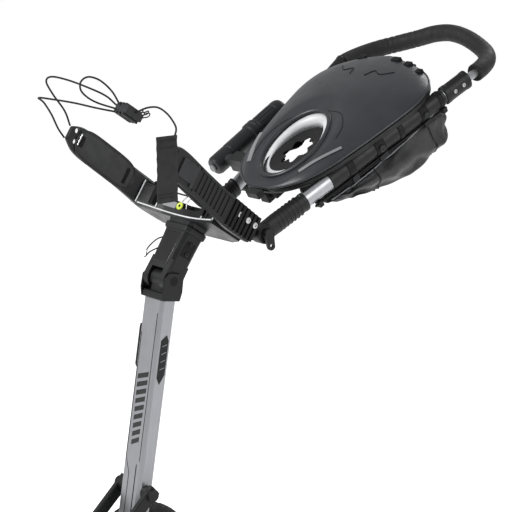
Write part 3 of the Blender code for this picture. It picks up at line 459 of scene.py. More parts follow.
def set_stage():
    """Camera, pale floor and soft lights."""
    right = Vector((math.cos(AZIMUTH), math.sin(AZIMUTH), 0))
    level = Vector((-math.sin(AZIMUTH), math.cos(AZIMUTH), 0))
    ahead = level * math.cos(ELEVATION) - Vector((0, 0, math.sin(ELEVATION)))
    target = right * AIM_SIDE + Vector((0, 0, AIM_HEIGHT))
    camera = bpy.data.cameras.new("camera")
    camera.lens, camera.sensor_width = LENS, SENSOR
    camera.clip_end = 200
    bpy.context.scene.view_settings.view_transform = "Standard"
    view = bpy.data.objects.new("camera", camera)
    view.location = target - ahead * DISTANCE
    view.rotation_euler = ahead.to_track_quat("-Z", "Y").to_euler()
    bpy.context.scene.collection.objects.link(view)
    bpy.context.scene.camera = view

    glow = {"Emission_Color": (1, 1, 1, 1), "Emission_Strength": 0.5}
    paper = material("paper_floor", (0.86, 0.86, 0.86), 0.8, **glow)
    place = coordinates(paper)
    mottle(paper, place, (0.86, 0.86, 0.86), 0.7, 0.01)
    mesh = bpy.data.meshes.new("floor")
    reach = 45
    mesh.from_pydata(
        [(-reach, -reach, 0), (reach, -reach, 0), (reach, reach, 0), (-reach, reach, 0)], [], [(0, 1, 2, 3)]
    )
    mesh.materials.append(paper)
    floor = bpy.data.objects.new("floor", mesh)
    bpy.context.scene.collection.objects.link(floor)

    world = bpy.data.worlds.new("sky")
    bpy.context.scene.world = world
    world.use_nodes = True
    background = world.node_tree.nodes["Background"]
    background.inputs["Color"].default_value = (1, 1, 1, 1)
    background.inputs["Strength"].default_value = 0.58
    lights = [
        # name, along the view's right, towards the camera, height, size, power
        ("key", -2.2, 0.9, 2.5, 1.0, 95),
        ("fill", 2.2, 1.8, 1.6, 1.0, 30),
        ("back", 1.6, -2.2, 3.0, 1.4, 35),
    ]
    for name, across, near, height, size, power in lights:
        lamp = bpy.data.lights.new(name, "AREA")
        lamp.shape = "DISK"
        lamp.size, lamp.energy = size, power
        holder = bpy.data.objects.new(name, lamp)
        holder.location = target + right * across - level * near + Vector((0, 0, height - AIM_HEIGHT))
        holder.rotation_euler = (target - holder.location).to_track_quat("-Z", "Y").to_euler()
        bpy.context.scene.collection.objects.link(holder)


set_stage()


# ---------------------------------------------------------------- elastic cords

# The cords' routes on the bracket: (x, forward, up)
CORDS = {
    "cord_far": [
        (-0.1465, 0.2235, 0.064), (-0.143, 0.25, 0.08), (-0.134, 0.293, 0.091), (-0.121, 0.325, 0.1),
        (-0.108, 0.329, 0.109), (-0.088, 0.312, 0.115), (-0.062, 0.286, 0.118), (-0.036, 0.259, 0.118),
        (-0.018, 0.241, 0.1105),
    ],
    "cord_front": [
        (-0.1465, 0.2235, 0.04), (-0.143, 0.246, 0.047), (-0.135, 0.277, 0.06), (-0.122, 0.31, 0.067),
        (-0.105, 0.334, 0.065), (-0.088, 0.317, 0.073), (-0.062, 0.291, 0.083), (-0.04, 0.264, 0.091),
        (-0.018, 0.232, 0.102),
    ],
    "cord_loop": [
        (-0.006, 0.2455, 0.112), (-0.017, 0.264, 0.126), (-0.033, 0.285, 0.134), (-0.043, 0.303, 0.13),
        (-0.048, 0.309, 0.117), (-0.046, 0.303, 0.104), (-0.04, 0.288, 0.0985), (-0.031, 0.269, 0.0985),
        (-0.012, 0.2455, 0.103),
    ],
    "cord_near": [
        (0.0195, 0.225, 0.11), (0.034, 0.219, 0.124), (0.054, 0.214, 0.13), (0.08, 0.211, 0.124),
        (0.105, 0.209, 0.112), (0.128, 0.213, 0.098), (0.144, 0.221, 0.0785), (0.1462, 0.222, 0.069),
    ],
}
CORD_DIAMETER = 0.0034


def make_cords():
    """Elastic cords as round curves along their routes."""
    for name, points in CORDS.items():
        path = smooth_path([BRACKET.at(x, -n, u) for x, n, u in points], 6)
        curve = bpy.data.curves.new(name, "CURVE")
        curve.dimensions = "3D"
        curve.bevel_depth = CORD_DIAMETER / 2
        curve.bevel_resolution = 5
        curve.use_fill_caps = True
        spline = curve.splines.new("POLY")
        spline.points.add(len(path) - 1)
        for point, place in zip(spline.points, path):
            point.co = (*place, 1)
        spline.use_smooth = True
        curve.materials.append(M["cord"])
        made = bpy.data.objects.new(f"{name}_sheath", curve)
        bpy.context.scene.collection.objects.link(made)
        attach(made, "upper_frame")
        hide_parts(name)


def wire(name, points, radius, paint, body, steps=8, sides=12, up=(0, 0, 1)):
    """Bent wire or moulded bead along a smooth path."""
    path = smooth_path(points, steps)
    return piece(name, loft(path_rings(path, radius, radius, sides, up)), paint, body)


# ---------------------------------------------------------------- handle frame

TUBE_HALF = (0.0085, 0.015)
PIVOT_HALF, CLAMP_HALF, CLAMP_AT = 0.081, 0.167, 0.475
HOLE_CENTRE, HOLE_HALF = 0.197, (0.059, 0.08)
RIM_LEVEL, LID_CROWN, LID_TOP_H = 0.024, 0.04, 0.315
SIDES = (("left", 1), ("right", -1))


def tube_centre(h):
    """How far out a side tube's centre line lies at h."""
    return PIVOT_HALF + (CLAMP_HALF - PIVOT_HALF) * h / CLAMP_AT


def side_rings(sign, stations, count=40):
    """Oval rings about a side tube's centre line, from (h, half width, half depth)."""
    rings = []
    for h, half_x, half_k in stations:
        rings.append([HANDLE.at(sign * (tube_centre(h) + a), h, b) for a, b in oval(half_x, half_k, count)])
    return rings


def grown(stations, by):
    """The same stations with both half sizes larger by the amount."""
    return [(h, a + by, b + by) for h, a, b in stations]


def make_side_frame():
    """Drawn side tubes with what is mounted on them."""
    a, b = TUBE_HALF
    for side, sign in SIDES:
        outer = side_rings(sign, [(0.062, a, b), (0.479, a, b)])
        inner = side_rings(sign, [(0.062, a - 0.0014, b - 0.0014), (0.479, a - 0.0014, b - 0.0014)])
        tube = f"side_tube_{side}"
        piece(
            f"{tube}_drawn", pipe(outer, inner), "bright_tube", "handle", (tube,),
            0.0004
        )
        make_sleeve(side, sign)
        make_rail(side, sign)
        make_clamp(side, sign)


def make_sleeve(side, sign):
    """Moulded sleeve round the tube's foot, with its pivot hub and grip ribs."""
    a, b = TUBE_HALF
    body = [(-0.012, 0.007, 0.011), (-0.008, 0.0088, 0.015), (0.006, 0.0105, 0.0196), (0.03, 0.0112, 0.0205)]
    body += [(0.06, 0.0112, 0.0196), (0.092, 0.0112, 0.0182), (0.0925, 0.0122, 0.0192)]
    body += [(0.0995, 0.0122, 0.019), (0.1, a + 0.0004, b + 0.0004)]
    node_name = f"tube_sleeve_{side}"
    made = piece(
        f"{node_name}_moulded", loft(side_rings(sign, body)), "black", "handle",
        (node_name,)
    )
    made.modifiers.new("edges", "BEVEL").width = 0.0006
    hub = [(0, 0.07), (0.0165, 0.07), (0.0185, 0.0715), (0.0185, 0.0915), (0.0168, 0.0935), (0.0125, 0.0935)]
    hub += [(0.0118, 0.0925), (0.008, 0.0925), (0.008, 0.094), (0, 0.094)]
    origin = Vector((0, PIVOTS["handle_tilt"].y, PIVOTS["handle_tilt"].z))
    piece(
        f"sleeve_hub_{side}", turned(origin, (sign, 0, 0), hub), "black", "handle", (),
        0.0005
    )
    ribs = []
    for i in range(7):
        h = 0.03 + 0.0085 * i
        station = [
            (h, 0.01, 0.019), (h + 0.0008, 0.012, 0.0206), (h + 0.0024, 0.012, 0.0206),
            (h + 0.0032, 0.01, 0.019)
        ]
        ribs.append(loft(side_rings(sign, station)))
    piece(f"sleeve_ribs_{side}", merge(*ribs), "black", "handle")


def make_rail(side, sign):
    """Black rail over the tube under the console, with its adjusting rods, clamps and knobs."""
    a, b = TUBE_HALF
    cover = grown([(0.158, a, b), (0.16, a, b)], 0.0024)
    cover += grown([(0.25, a, b), (0.252, a, b)], 0.0018) + grown([(0.434, a, b)], 0.0018)
    inner = grown([(0.158, a, b), (0.434, a, b)], 0.0003)
    rings = side_rings(sign, cover)
    bore = side_rings(sign, inner)
    piece(f"side_rail_{side}", pipe(rings, bore), "black", "handle", (), 0.0004)
    rods = []
    for k, radius, low, high in ((-0.0195, 0.0022, 0.11, 0.43), (-0.0235, 0.0016, 0.15, 0.33)):
        start, end = (HANDLE.at(sign * (tube_centre(h) + 0.006), h, k) for h in (low, high))
        rods.append(rod(start, end, radius, 16))
    piece(f"adjusting_rods_{side}", merge(*rods), "deep_black", "handle", (), 0.0003)
    blocks = []
    for h, long in ((0.196, 0.016), (0.262, 0.022), (0.318, 0.012), (0.372, 0.018), (0.418, 0.01)):
        shell = grown(
            [
                (h, a, b), (h + 0.0015, a + 0.0012, b + 0.0012),
                (h + long - 0.0015, a + 0.0012, b + 0.0012), (h + long, a, b)
            ],
            0.0028
        )
        blocks.append(loft(side_rings(sign, shell)))
    piece(f"rail_collars_{side}", merge(*blocks), "deep_black", "handle", (), 0.0006)
    feet = []
    for h, long in ((0.116, 0.01), (0.196, 0.016), (0.262, 0.022), (0.372, 0.018), (0.418, 0.01)):
        centre = tube_centre(h + long / 2)
        place = HANDLE.moved(sign * (centre + 0.004), h + long / 2, -0.02)
        feet.append(block(place, (-0.0065, -long / 2, -0.0065), (0.0065, long / 2, 0.0045)))
    piece(f"rail_feet_{side}", merge(*feet), "black", "handle", (), 0.001)
    knobs = []
    for h, radius in ((0.273, 0.0072), (0.381, 0.006)):
        x = sign * (tube_centre(h) + 0.0108)
        line = [
            (0, 0), (radius, 0), (radius, 0.0035), (radius * 0.8, 0.005), (radius * 0.45, 0.005),
            (radius * 0.4, 0.0042), (0, 0.0042)
        ]
        knobs.append(turned(HANDLE.at(x, h, -0.002), (sign, 0, 0), line, 24))
    piece(f"rail_knobs_{side}", merge(*knobs), "dark_grey", "handle", (), 0.0004)


def make_clamp(side, sign):
    """Clamp of the handle loop: collar, split and screw."""
    a, b = TUBE_HALF
    outer = grown([(0.436, a, b)], 0.0026) + grown([(0.4375, a, b), (0.446, a, b)], 0.0044)
    outer += grown([(0.4468, a, b), (0.486, a, b)], 0.0036) + grown([(0.4868, a, b), (0.494, a, b)], 0.0044)
    outer += grown([(0.495, a, b)], 0.0028)
    inner = grown([(0.436, a, b), (0.495, a, b)], 0.0003)
    node_name = f"handle_clamp_{side}"
    bm = pipe(side_rings(sign, outer), side_rings(sign, inner))
    piece(f"{node_name}_moulded", bm, "black", "handle", (node_name,), 0.0005)
    bolts = []
    for h in (0.4555, 0.4765):
        x = sign * (tube_centre(h) + a + 0.003)
        line = [
            (0, 0), (0.004, 0), (0.004, 0.0018), (0.0034, 0.0024), (0.0022, 0.0024), (0.0022, 0.001),
            (0, 0.001)
        ]
        bolts.append(turned(HANDLE.at(x, h, 0), (sign, 0, 0), line, 20))
    piece(f"clamp_bolts_{side}", merge(*bolts), "steel", "handle")


def loop_path(steps):
    """Centre line of the handle's looped end."""
    half = [
        (0.1686, 0.484, 0.0), (0.17, 0.505, -0.002), (0.164, 0.54, -0.01), (0.148, 0.575, -0.018),
        (0.12, 0.604, -0.023), (0.08, 0.625, -0.021), (0.04, 0.636, -0.014),
    ]
    points = half + [(0, 0.64, -0.011)] + [(-x, h, k) for x, h, k in reversed(half)]
    return smooth_path([HANDLE.at(*p) for p in points], steps)


def make_handle():
    """Bent handle tube and its foam, with moulded finger grooves on both sides of the middle."""
    steps = 14
    path = loop_path(steps)
    up = HANDLE.axes[2]
    bare = loft(path_rings(path, 0.008, 0.008, 24, up))
    piece("handle_loop_bent", bare, "bright_tube", "handle", ("handle_loop",))
    covered = path[int(1.5 * steps):-int(0.7 * steps)]

    def swell(share):
        end = min(share, 1 - share)
        rounding = 1 - 0.16 * max(0, 1 - end / 0.012) ** 2
        middle = abs(share - 0.5)
        grooved = 0.1 < middle < 0.33
        groove = 0.075 * max(0.0, math.cos((middle - 0.1) * 2 * math.pi / 0.0256)) ** 8 if grooved else 0.0
        return 0.017 * (rounding - groove)

    outer = path_rings(covered, swell, swell, 28, up)
    inner = path_rings(covered, 0.0089, 0.0089, 28, up)
    foam = piece(
        "handle_grip_foam", pipe(outer, inner), "foam", "handle", ("handle_grip",), angle=50
    )
    collars = []
    for end in (covered[:3], covered[-3:]):
        middle, axis = end[1], end[2] - end[0]
        line = [
            (0.0089, -0.004), (0.016, -0.004), (0.0172, -0.002), (0.0172, 0.002), (0.016, 0.004),
            (0.0089, 0.004)
        ]
        collars.append(turned(middle, axis, line, 36))
    piece("grip_collars", merge(*collars), "rubber", "handle", (), 0.0004)


# ---------------------------------------------------------------- console

# Half width of the console's outline against h
CONSOLE_EDGE = [
    (0.082, 0.0), (0.086, 0.03), (0.1, 0.062), (0.128, 0.094), (0.17, 0.116),
    (0.22, 0.13), (0.275, 0.143), (0.33, 0.154), (0.375, 0.159), (0.415, 0.151),
    (0.445, 0.128), (0.467, 0.09), (0.48, 0.04), (0.482, 0.0),
]
EDGE_LINE = smooth_path([(w, h, 0) for h, w in CONSOLE_EDGE], 8)


def console_half(h):
    """Half width of the console's outline at h."""
    for p0, p1 in zip(EDGE_LINE, EDGE_LINE[1:]):
        if p0.y <= h <= p1.y:
            return p0.x + (p1.x - p0.x) * (h - p0.y) / max(p1.y - p0.y, 1e-9)
    return 0.0


def lid_height(x, h):
    """Height of the lid's outer surface above the handle plane."""
    half = max(console_half(min(max(h, 0.0822), 0.4818)), 0.012)
    across = max(0.0, 1 - (abs(x) / half) ** 2.2)
    span, power = (0.245, 1.0) if h < LID_TOP_H else (0.185, 0.55)
    along = max(0.0, 1 - ((h - LID_TOP_H) / span) ** 2) ** power
    from_hole = math.hypot(x / HOLE_HALF[0], (h - HOLE_CENTRE) / HOLE_HALF[1])
    sunk = min(1.0, max(0.0, (1.55 - from_hole) / 0.45))
    dish = 0.0085 * sunk * sunk * (3 - 2 * sunk)
    return max(RIM_LEVEL + 0.004, RIM_LEVEL + 0.004 + LID_CROWN * across**0.7 * along - dish)


def on_lid(x, h, lift=0.0):
    """World point above the lid's outer surface by the lift."""
    return HANDLE.at(x, h, lid_height(x, h) + lift)


def make_lid():
    """Domed shell with the cup hole and its rolled rim, dark beads painted as the shade in its grooves, and raised
    side ribs in a lighter grey painted as their highlight.
    """
    rows, columns = 84, 48
    bm = bmesh.new()
    grid = []
    for i in range(rows + 1):
        t = (1 - math.cos(math.pi * i / rows)) / 2
        h = 0.0828 + (0.4815 - 0.0828) * t
        half = console_half(h)
        line = []
        for j in range(columns + 1):
            c = math.sin(math.pi * (j / columns - 0.5))
            line.append(bm.verts.new(on_lid(c * half, h)))
        grid.append(line)
    for i in range(rows):
        for j in range(columns):
            bm.faces.new((grid[i][j], grid[i][j + 1], grid[i + 1][j + 1], grid[i + 1][j]))
    lid = piece("console_lid_shell", bm, "charcoal", "lid", ("console_lid",), angle=60)
    wall = lid.modifiers.new("wall", "SOLIDIFY")
    wall.thickness, wall.offset = 0.0026, -1
    hole = [(a, HOLE_CENTRE + b) for a, b in oval(HOLE_HALF[0] + 0.002, HOLE_HALF[1] + 0.002, 96)]
    cut_through(lid, prism(hole, HANDLE, 0.0, 0.14))
    edge = lid.modifiers.new("edges", "BEVEL")
    edge.width, edge.segments, edge.limit_method, edge.angle_limit = 0.0007, 2, "ANGLE", math.radians(50)

    rim = [
        on_lid(a, HOLE_CENTRE + b, -0.0004)
        for a, b in oval(HOLE_HALF[0] + 0.0045, HOLE_HALF[1] + 0.0045, 96)
    ]
    piece("cup_rim", closed_bead(rim, 0.0048, 0.0044), "charcoal", "lid")
    edge_line = []
    for sign in (1, -1):
        side = [(sign * p.x, p.y) for p in EDGE_LINE[4:-4]]
        edge_line += side if sign > 0 else list(reversed(side))
    bead = [HANDLE.at(x, h, RIM_LEVEL + 0.0046) for x, h in edge_line]
    piece("lid_edge_bead", closed_bead(bead, 0.002, 0.0024), "charcoal", "lid")
    band = [HANDLE.at(x * 0.985, 0.282 + (h - 0.282) * 0.985, 0.0185) for x, h in edge_line]
    piece("console_rim_band", closed_bead(band, 0.0024, 0.0046), "black", "handle")

    # Dark bead painted as the shade in the groove round the cup hole.
    line = [(-0.076, 0.15), (-0.082, 0.195), (-0.07, 0.238), (-0.04, 0.268), (0.0, 0.28), (0.034, 0.284)]
    line += [(0.064, 0.276), (0.086, 0.252), (0.093, 0.222)]
    path = smooth_path([(x, h, 0) for x, h in line], 8)
    wire(
        "lid_groove_shade_line", [on_lid(p.x, p.y, -0.0003) for p in path], 0.0009, "deep_black", "lid",
        2, 8
    )
    for side, sign in SIDES:
        # Raised side rib, given a lighter grey than the lid as its painted highlight.
        line = smooth_path(
            [(sign * x, h, 0) for x, h in ((0.071, 0.133), (0.086, 0.16), (0.101, 0.188), (0.113, 0.212))],
            8
        )
        strip = loft(path_rings([on_lid(p.x, p.y, 0.0004) for p in line], 0.0046, 0.0016, 14, HANDLE.axes[2]))
        piece(f"lid_side_highlight_strip_{side}", strip, "grey", "lid")
        # Dark bead painted as the shade in a crease of the lid.
        path = [
            on_lid(sign * x, h, 0.0002)
            for x, h in ((0.02, 0.392), (0.03, 0.412), (0.05, 0.404), (0.072, 0.421))
        ]
        wire(f"lid_crease_shade_{side}", path, 0.0013, "deep_black", "lid", 8, 12)
    tabs = []
    for x, h, half in (
        (0.034, 0.4655, 0.01), (0.068, 0.461, 0.008), (0.104, 0.45, 0.007), (-0.06, 0.463, 0.009)
    ):
        place = Frame(on_lid(x, h), *HANDLE.axes)
        tabs.append(block(place, (-half, -0.006, -0.004), (half, 0.006, 0.0048)))
    piece("lid_tabs", merge(*tabs), "deep_black", "lid", (), 0.0012)
    knuckles = []
    for x in (-0.052, -0.018, 0.0, 0.04):
        place = PIVOTS["lid_open"] + HANDLE.axes[0] * x
        knuckles.append(
            turned(
                place, (1, 0, 0),
                [(0, 0), (0.0034, 0), (0.004, 0.001), (0.004, 0.011), (0.0034, 0.012), (0, 0.012)], 24
            )
        )
    piece("lid_knuckles", merge(*knuckles), "black", "lid", (), 0.0003)


def closed_bead(points, across, tall, upright=HANDLE.axes[2], sides=14):
    """Bead with an oval section along a closed line, its height towards upright."""
    rings = []
    for i, point in enumerate(points):
        along = (points[(i + 1) % len(points)] - points[i - 1]).normalized()
        side = along.cross(upright).normalized()
        top = side.cross(along)
        rings.append([point + side * a + top * b for a, b in oval(across, tall, sides)])
    return loft(rings, round_again=True)


def cut_through(made, tool_bm, operation="DIFFERENCE"):
    """Boolean with a hidden tool, applied at once."""
    bmesh.ops.recalc_face_normals(tool_bm, faces=tool_bm.faces)
    mesh = bpy.data.meshes.new("tool")
    tool_bm.to_mesh(mesh)
    tool_bm.free()
    tool = bpy.data.objects.new("tool", mesh)
    bpy.context.scene.collection.objects.link(tool)
    modifier = made.modifiers.new("cut", "BOOLEAN")
    modifier.operation, modifier.object, modifier.solver = operation, tool, "EXACT"
    graph = bpy.context.evaluated_depsgraph_get()
    result = bpy.data.meshes.new_from_object(made.evaluated_get(graph))
    made.modifiers.clear()
    made.data = result
    bpy.data.objects.remove(tool, do_unlink=True)
    result.shade_smooth()
    result.set_sharp_from_angle(angle=math.radians(40))


def make_cup_well():
    """Pale funnel inside the cup hole and the star-shaped rubber flaps that hold a bottle."""
    a, b = HOLE_HALF

    def ring(shrink, lift):
        return [on_lid(x, HOLE_CENTRE + y, lift) for x, y in oval(a - shrink, b - shrink, 96)]

    def level(shrink, k):
        return [HANDLE.at(x, HOLE_CENTRE + y, k) for x, y in oval(a - shrink, b - shrink, 96)]

    skin = loft(
        [ring(-0.002, -0.005), ring(0.004, -0.0068), ring(0.011, -0.01), level(0.0135, 0.03)], capped=False
    )
    funnel = piece("cup_funnel", skin, "pale", "lid", angle=60)
    funnel.modifiers.new("wall", "SOLIDIFY").thickness = 0.0016
    points = []
    for i in range(112):
        angle = 2 * math.pi * i / 112
        reach = 0.8 + 0.15 * math.cos(7 * angle + 0.6)
        points.append((reach * math.cos(angle), reach * math.sin(angle)))
    inner = [(x * (a - 0.03), y * (b - 0.036)) for x, y in points]
    outer = oval(a - 0.014, b - 0.014, 112)
    outer = outer[-1:] + outer[:-1]
    rows = []
    for line, k in ((outer, 0.0295), (outer, 0.0312), (inner, 0.0288), (inner, 0.0272)):
        rows.append([HANDLE.at(x, HOLE_CENTRE + y, k) for x, y in line])
    piece("cup_star", loft(rows, round_again=True), "rubber", "lid", (), angle=40)


def make_console():
    """Console base, latch, cup insert and the catch under the lid."""
    refine("console_base", "black", 0.001)
    refine("lid_latch", "black", 0.0012)
    refine("cup_insert", "rubber", 0.0008)
    ribs = []
    for x in (-0.075, -0.045, -0.015, 0.015, 0.045, 0.075):
        place = HANDLE.moved(x, 0.385, -0.0305)
        ribs.append(block(place, (-0.0012, -0.06, -0.0028), (0.0012, 0.06, 0.001)))
    piece("console_ribs", merge(*ribs), "black", "handle", (), 0.0004)
    lower = HANDLE.moved(0, 0.104, 0.0)
    catch = merge(
        block(lower, (-0.03, -0.012, -0.002), (0.03, 0.012, 0.0175)),
        block(lower, (-0.012, -0.02, -0.01), (0.012, -0.004, 0.014))
    )
    piece("console_foot", catch, "deep_black", "handle", (), 0.0016)


# ---------------------------------------------------------------- accessory bag

# h, right edge, left edge, top k, bottom k
BAG_STATIONS = [
    (0.14, 0.03, 0.112, -0.03, -0.04), (0.17, -0.02, 0.118, -0.033, -0.052),
    (0.205, -0.06, 0.12, -0.0345, -0.068), (0.25, -0.08, 0.122, -0.0345, -0.094),
    (0.3, -0.094, 0.124, -0.0345, -0.118), (0.35, -0.102, 0.125, -0.0345, -0.13),
    (0.4, -0.104, 0.125, -0.0345, -0.136), (0.445, -0.102, 0.122, -0.0345, -0.138),
    (0.47, -0.092, 0.114, -0.0345, -0.122), (0.484, -0.078, 0.1, -0.0345, -0.09),
]
BAG_SIDES, BAG_STEPS, BAG_INSET = 64, 6, 0.004
SEAM_ROWS, SEAM_RADIUS = (20, 38), 0.0017
FOLD_DEPTH, FOLD_OUTWARD = 0.01, 0.004


def bag_rings(count, steps, inset):
    """Rings of the bag's outside, drawn in by the inset."""
    edges = smooth_path([(h, right, left) for h, right, left, _, _ in BAG_STATIONS], steps)
    depths = smooth_path([(h, top, bottom) for h, _, _, top, bottom in BAG_STATIONS], steps)
    rings = []
    for (h, right, left), (_, top, bottom) in zip(edges, depths):
        centre, half = (left + right) / 2, (left - right) / 2 - inset
        middle, reach = (top + bottom) / 2, max((top - bottom) / 2 - inset, 0.003)
        rings.append([HANDLE.at(centre + a, h, middle + b) for a, b in oval(half, reach, count, 0.62)])
    return rings


def make_bag():
    """Slack cloth bag under the console, with its seams and piping."""
    count = BAG_SIDES
    rings = bag_rings(count, BAG_STEPS, BAG_INSET)
    bag = piece(
        "accessory_bag_cloth", loft(rings), "fabric", "handle", ("accessory_bag",), angle=80
    )
    pucker(bag, rings, count)
    settle(bag)
    rows = [[bag.data.vertices[r * count + i].co.copy() for i in range(count)] for r in range(len(rings))]
    bag.modifiers.new("subdivide", "SUBSURF").levels = 1
    bag.modifiers["subdivide"].render_levels = 1
    seams = []
    for r in SEAM_ROWS:
        seams.append(closed_bead(rows[r], SEAM_RADIUS, SEAM_RADIUS, HANDLE.axes[1], 10))
    piece("bag_seams", merge(*seams), "rubber", "handle")
    for i, name in ((6, "near"), (count // 2 - 7, "far")):
        line = [rows[r][i] for r in range(2, len(rings) - 2)]
        piece(
            f"bag_piping_{name}", loft(path_rings(line, 0.0016, 0.0016, 10, (0, 0, 1))), "piping", "handle",
        )


def pucker(bag, rings, count):
    """Folds where the slack cloth hangs from its upper edge: they run down and fan out."""
    bag.data.update()
    last = len(rings) - 1
    for r in range(len(rings)):
        centre = sum(rings[r], Vector()) / count
        for i in range(count):
            vertex = bag.data.vertices[r * count + i]
            turn = 2 * math.pi * (i + 0.5) / count
            hang = min(1.0, max(0.0, 0.62 - math.sin(turn))) ** 0.6
            share = r / last
            fan = 1 - 2 * abs(math.sin(4.5 * turn + 7 * share + 1.1 * math.sin(7 * share))) ** 0.6
            cross = 1 - 2 * abs(math.sin(11 * share + 1.5 * math.cos(turn * 2))) ** 0.6
            drift = noise.noise(vertex.co * 24) * 1.1
            depth = FOLD_DEPTH * hang * (0.62 * fan + 0.5 * cross + drift)
            outward = (vertex.co - centre).normalized()
            vertex.co += outward * min(depth, FOLD_OUTWARD)


def settle(bag):
    """Short cloth simulation: the bag sags and wrinkles from its held upper edge."""
    scene = bpy.context.scene
    held = bag.vertex_groups.new(name="held")
    above = [v.index for v in bag.data.vertices if (v.co - HANDLE.origin).dot(HANDLE.axes[2]) > -0.041]
    held.add(above, 1.0, "REPLACE")
    start = [v.co.copy() for v in bag.data.vertices]
    cloth = bag.modifiers.new("cloth", "CLOTH")
    cloth.settings.quality = 6
    cloth.settings.mass = 0.25
    cloth.settings.tension_stiffness = 12
    cloth.settings.compression_stiffness = 12
    cloth.settings.bending_stiffness = 0.25
    cloth.settings.shrink_min = -0.07
    cloth.settings.vertex_group_mass = "held"
    cloth.settings.use_pressure = True
    cloth.settings.uniform_pressure_force = 0.35
    cloth.settings.effector_weights.gravity = 0.35
    cloth.collision_settings.use_collision = False
    for number in range(1, 17):
        scene.frame_set(number)
    graph = bpy.context.evaluated_depsgraph_get()
    moved = [v.co.copy() for v in bag.evaluated_get(graph).data.vertices]
    bag.modifiers.remove(cloth)
    scene.frame_set(1)
    cap = 0.0075
    for vertex, before, after in zip(bag.data.vertices, start, moved):
        shift = after - before
        if shift.length > cap:
            shift = shift * (cap / shift.length)
        vertex.co = before + shift
    bag.vertex_groups.clear()


# ---------------------------------------------------------------- umbrella holder


def make_umbrella():
    """Turned umbrella holder with its collar, lug, grip ribs and plug."""
    radius, x = 0.0205, -0.203
    axis, origin = HANDLE.axes[1], HANDLE.at(x, 0, 0)
    r = radius
    line = [
        (0, 0.1352), (r - 0.0075, 0.1352), (r - 0.0035, 0.1372), (r - 0.0008, 0.143), (r - 0.0008, 0.178),
        (r - 0.0016, 0.179)
    ]
    line += [
        (r - 0.0016, 0.1815), (r - 0.0004, 0.1825), (r - 0.0004, 0.2405), (r + 0.0021, 0.2425),
        (r + 0.0025, 0.245)
    ]
    line += [
        (r + 0.0025, 0.2515), (r + 0.0016, 0.2525), (r + 0.0016, 0.2545), (r + 0.0025, 0.2555),
        (r + 0.0025, 0.262), (r, 0.264)
    ]
    line += [
        (r, 0.315), (r + 0.0006, 0.316), (r + 0.0006, 0.327), (r - 0.001, 0.3335), (r - 0.0035, 0.3372),
        (r - 0.0055, 0.3376)
    ]
    line += [(r - 0.0062, 0.335), (r - 0.0062, 0.151), (0, 0.151)]
    holder = turned(origin, axis, line, 56)
    piece(
        "umbrella_holder_turned", holder, "dark_grey", "umbrella", ("umbrella_holder",),
        0.0004, angle=28
    )
    pivot = HANDLE.at(0, 0.1645, 0)
    lug = [(0.0045, 0.1706), (0.0112, 0.1706), (0.0125, 0.1716), (0.0125, 0.186), (0.0045, 0.186)]
    piece(
        "umbrella_lug", turned(pivot, (-1, 0, 0), lug, 32), "dark_grey", "umbrella", (),
        0.0004
    )
    ribs = []
    for i in range(16):
        place = axis_frame(origin, axis).turned(2 * math.pi * i / 16)
        ribs.append(block(place, (r - 0.0006, -0.0009, 0.268), (r + 0.0008, 0.0009, 0.312)))
    piece("umbrella_grip_ribs", merge(*ribs), "dark_grey", "umbrella", (), 0.0003)
    foot = [(0, 0.13), (0.0065, 0.13), (0.008, 0.1312), (0.008, 0.134), (0.006, 0.1356), (0, 0.1356)]
    piece("umbrella_drain_plug", turned(origin, axis, foot, 28), "grey", "umbrella")
    refine("umbrella_bracket", "black", 0.0014)
    refine("umbrella_stud", "steel", 0.0004)


# ---------------------------------------------------------------- bag bracket and its arms

# centre x, forward, up, half thickness, half height
ARM_SECTIONS = [
    (0.124, -0.034, 0.028, 0.01, 0.025), (0.125, 0.02, 0.03, 0.011, 0.027),
    (0.127, 0.06, 0.034, 0.0085, 0.026), (0.134, 0.12, 0.041, 0.006, 0.025),
    (0.141, 0.18, 0.047, 0.005, 0.026), (0.1455, 0.22, 0.052, 0.0045, 0.02),
]


def arm_at(forward):
    """Arm section at that distance forward: centre x, up, half thickness, half height."""
    sections = smooth_path([(f, x, u) for x, f, u, _, _ in ARM_SECTIONS], 12)
    sizes = smooth_path([(f, t, g) for _, f, _, t, g in ARM_SECTIONS], 12)
    for p0, p1, q0, q1 in zip(sections, sections[1:], sizes, sizes[1:]):
        if p0.x <= forward <= p1.x:
            t = (forward - p0.x) / (p1.x - p0.x)
            p, q = p0.lerp(p1, t), q0.lerp(q1, t)
            return p.y, p.z, q.y, q.z
    last = ARM_SECTIONS[0] if forward < 0 else ARM_SECTIONS[-1]
    return last[0], last[2], last[3], last[4]


def make_arms():
    """Moulded arms of the bracket, each with two holes at its tip."""
    for side, sign in SIDES:
        rings = []
        for i in range(43):
            forward = -0.034 + (0.22 + 0.034) * i / 42
            x, up, thick, tall = arm_at(forward)
            nose = 1 - 0.35 * max(0.0, (forward - 0.196) / 0.024) ** 2
            outline = chamfered(thick, tall * nose, thick * 0.5)
            rings.append([BRACKET.at(sign * (x + a), -forward, up + b) for a, b in outline])
        name = f"bracket_arm_{side}"
        arm = piece(f"{name}_moulded", loft(rings), "black", "upper_frame", (name,))
        for forward, up, radius in ((0.208, 0.062, 0.0052), (0.203, 0.043, 0.0048)):
            start, end = BRACKET.at(sign * 0.1, -forward, up), BRACKET.at(sign * 0.18, -forward, up)
            cut_through(arm, rod(start, end, radius, 28))
        edge = arm.modifiers.new("edges", "BEVEL")
        edge.width, edge.segments, edge.limit_method = 0.0007, 2, "ANGLE"
        make_arm_ribs(side, sign)
        make_arm_pad(side, sign)


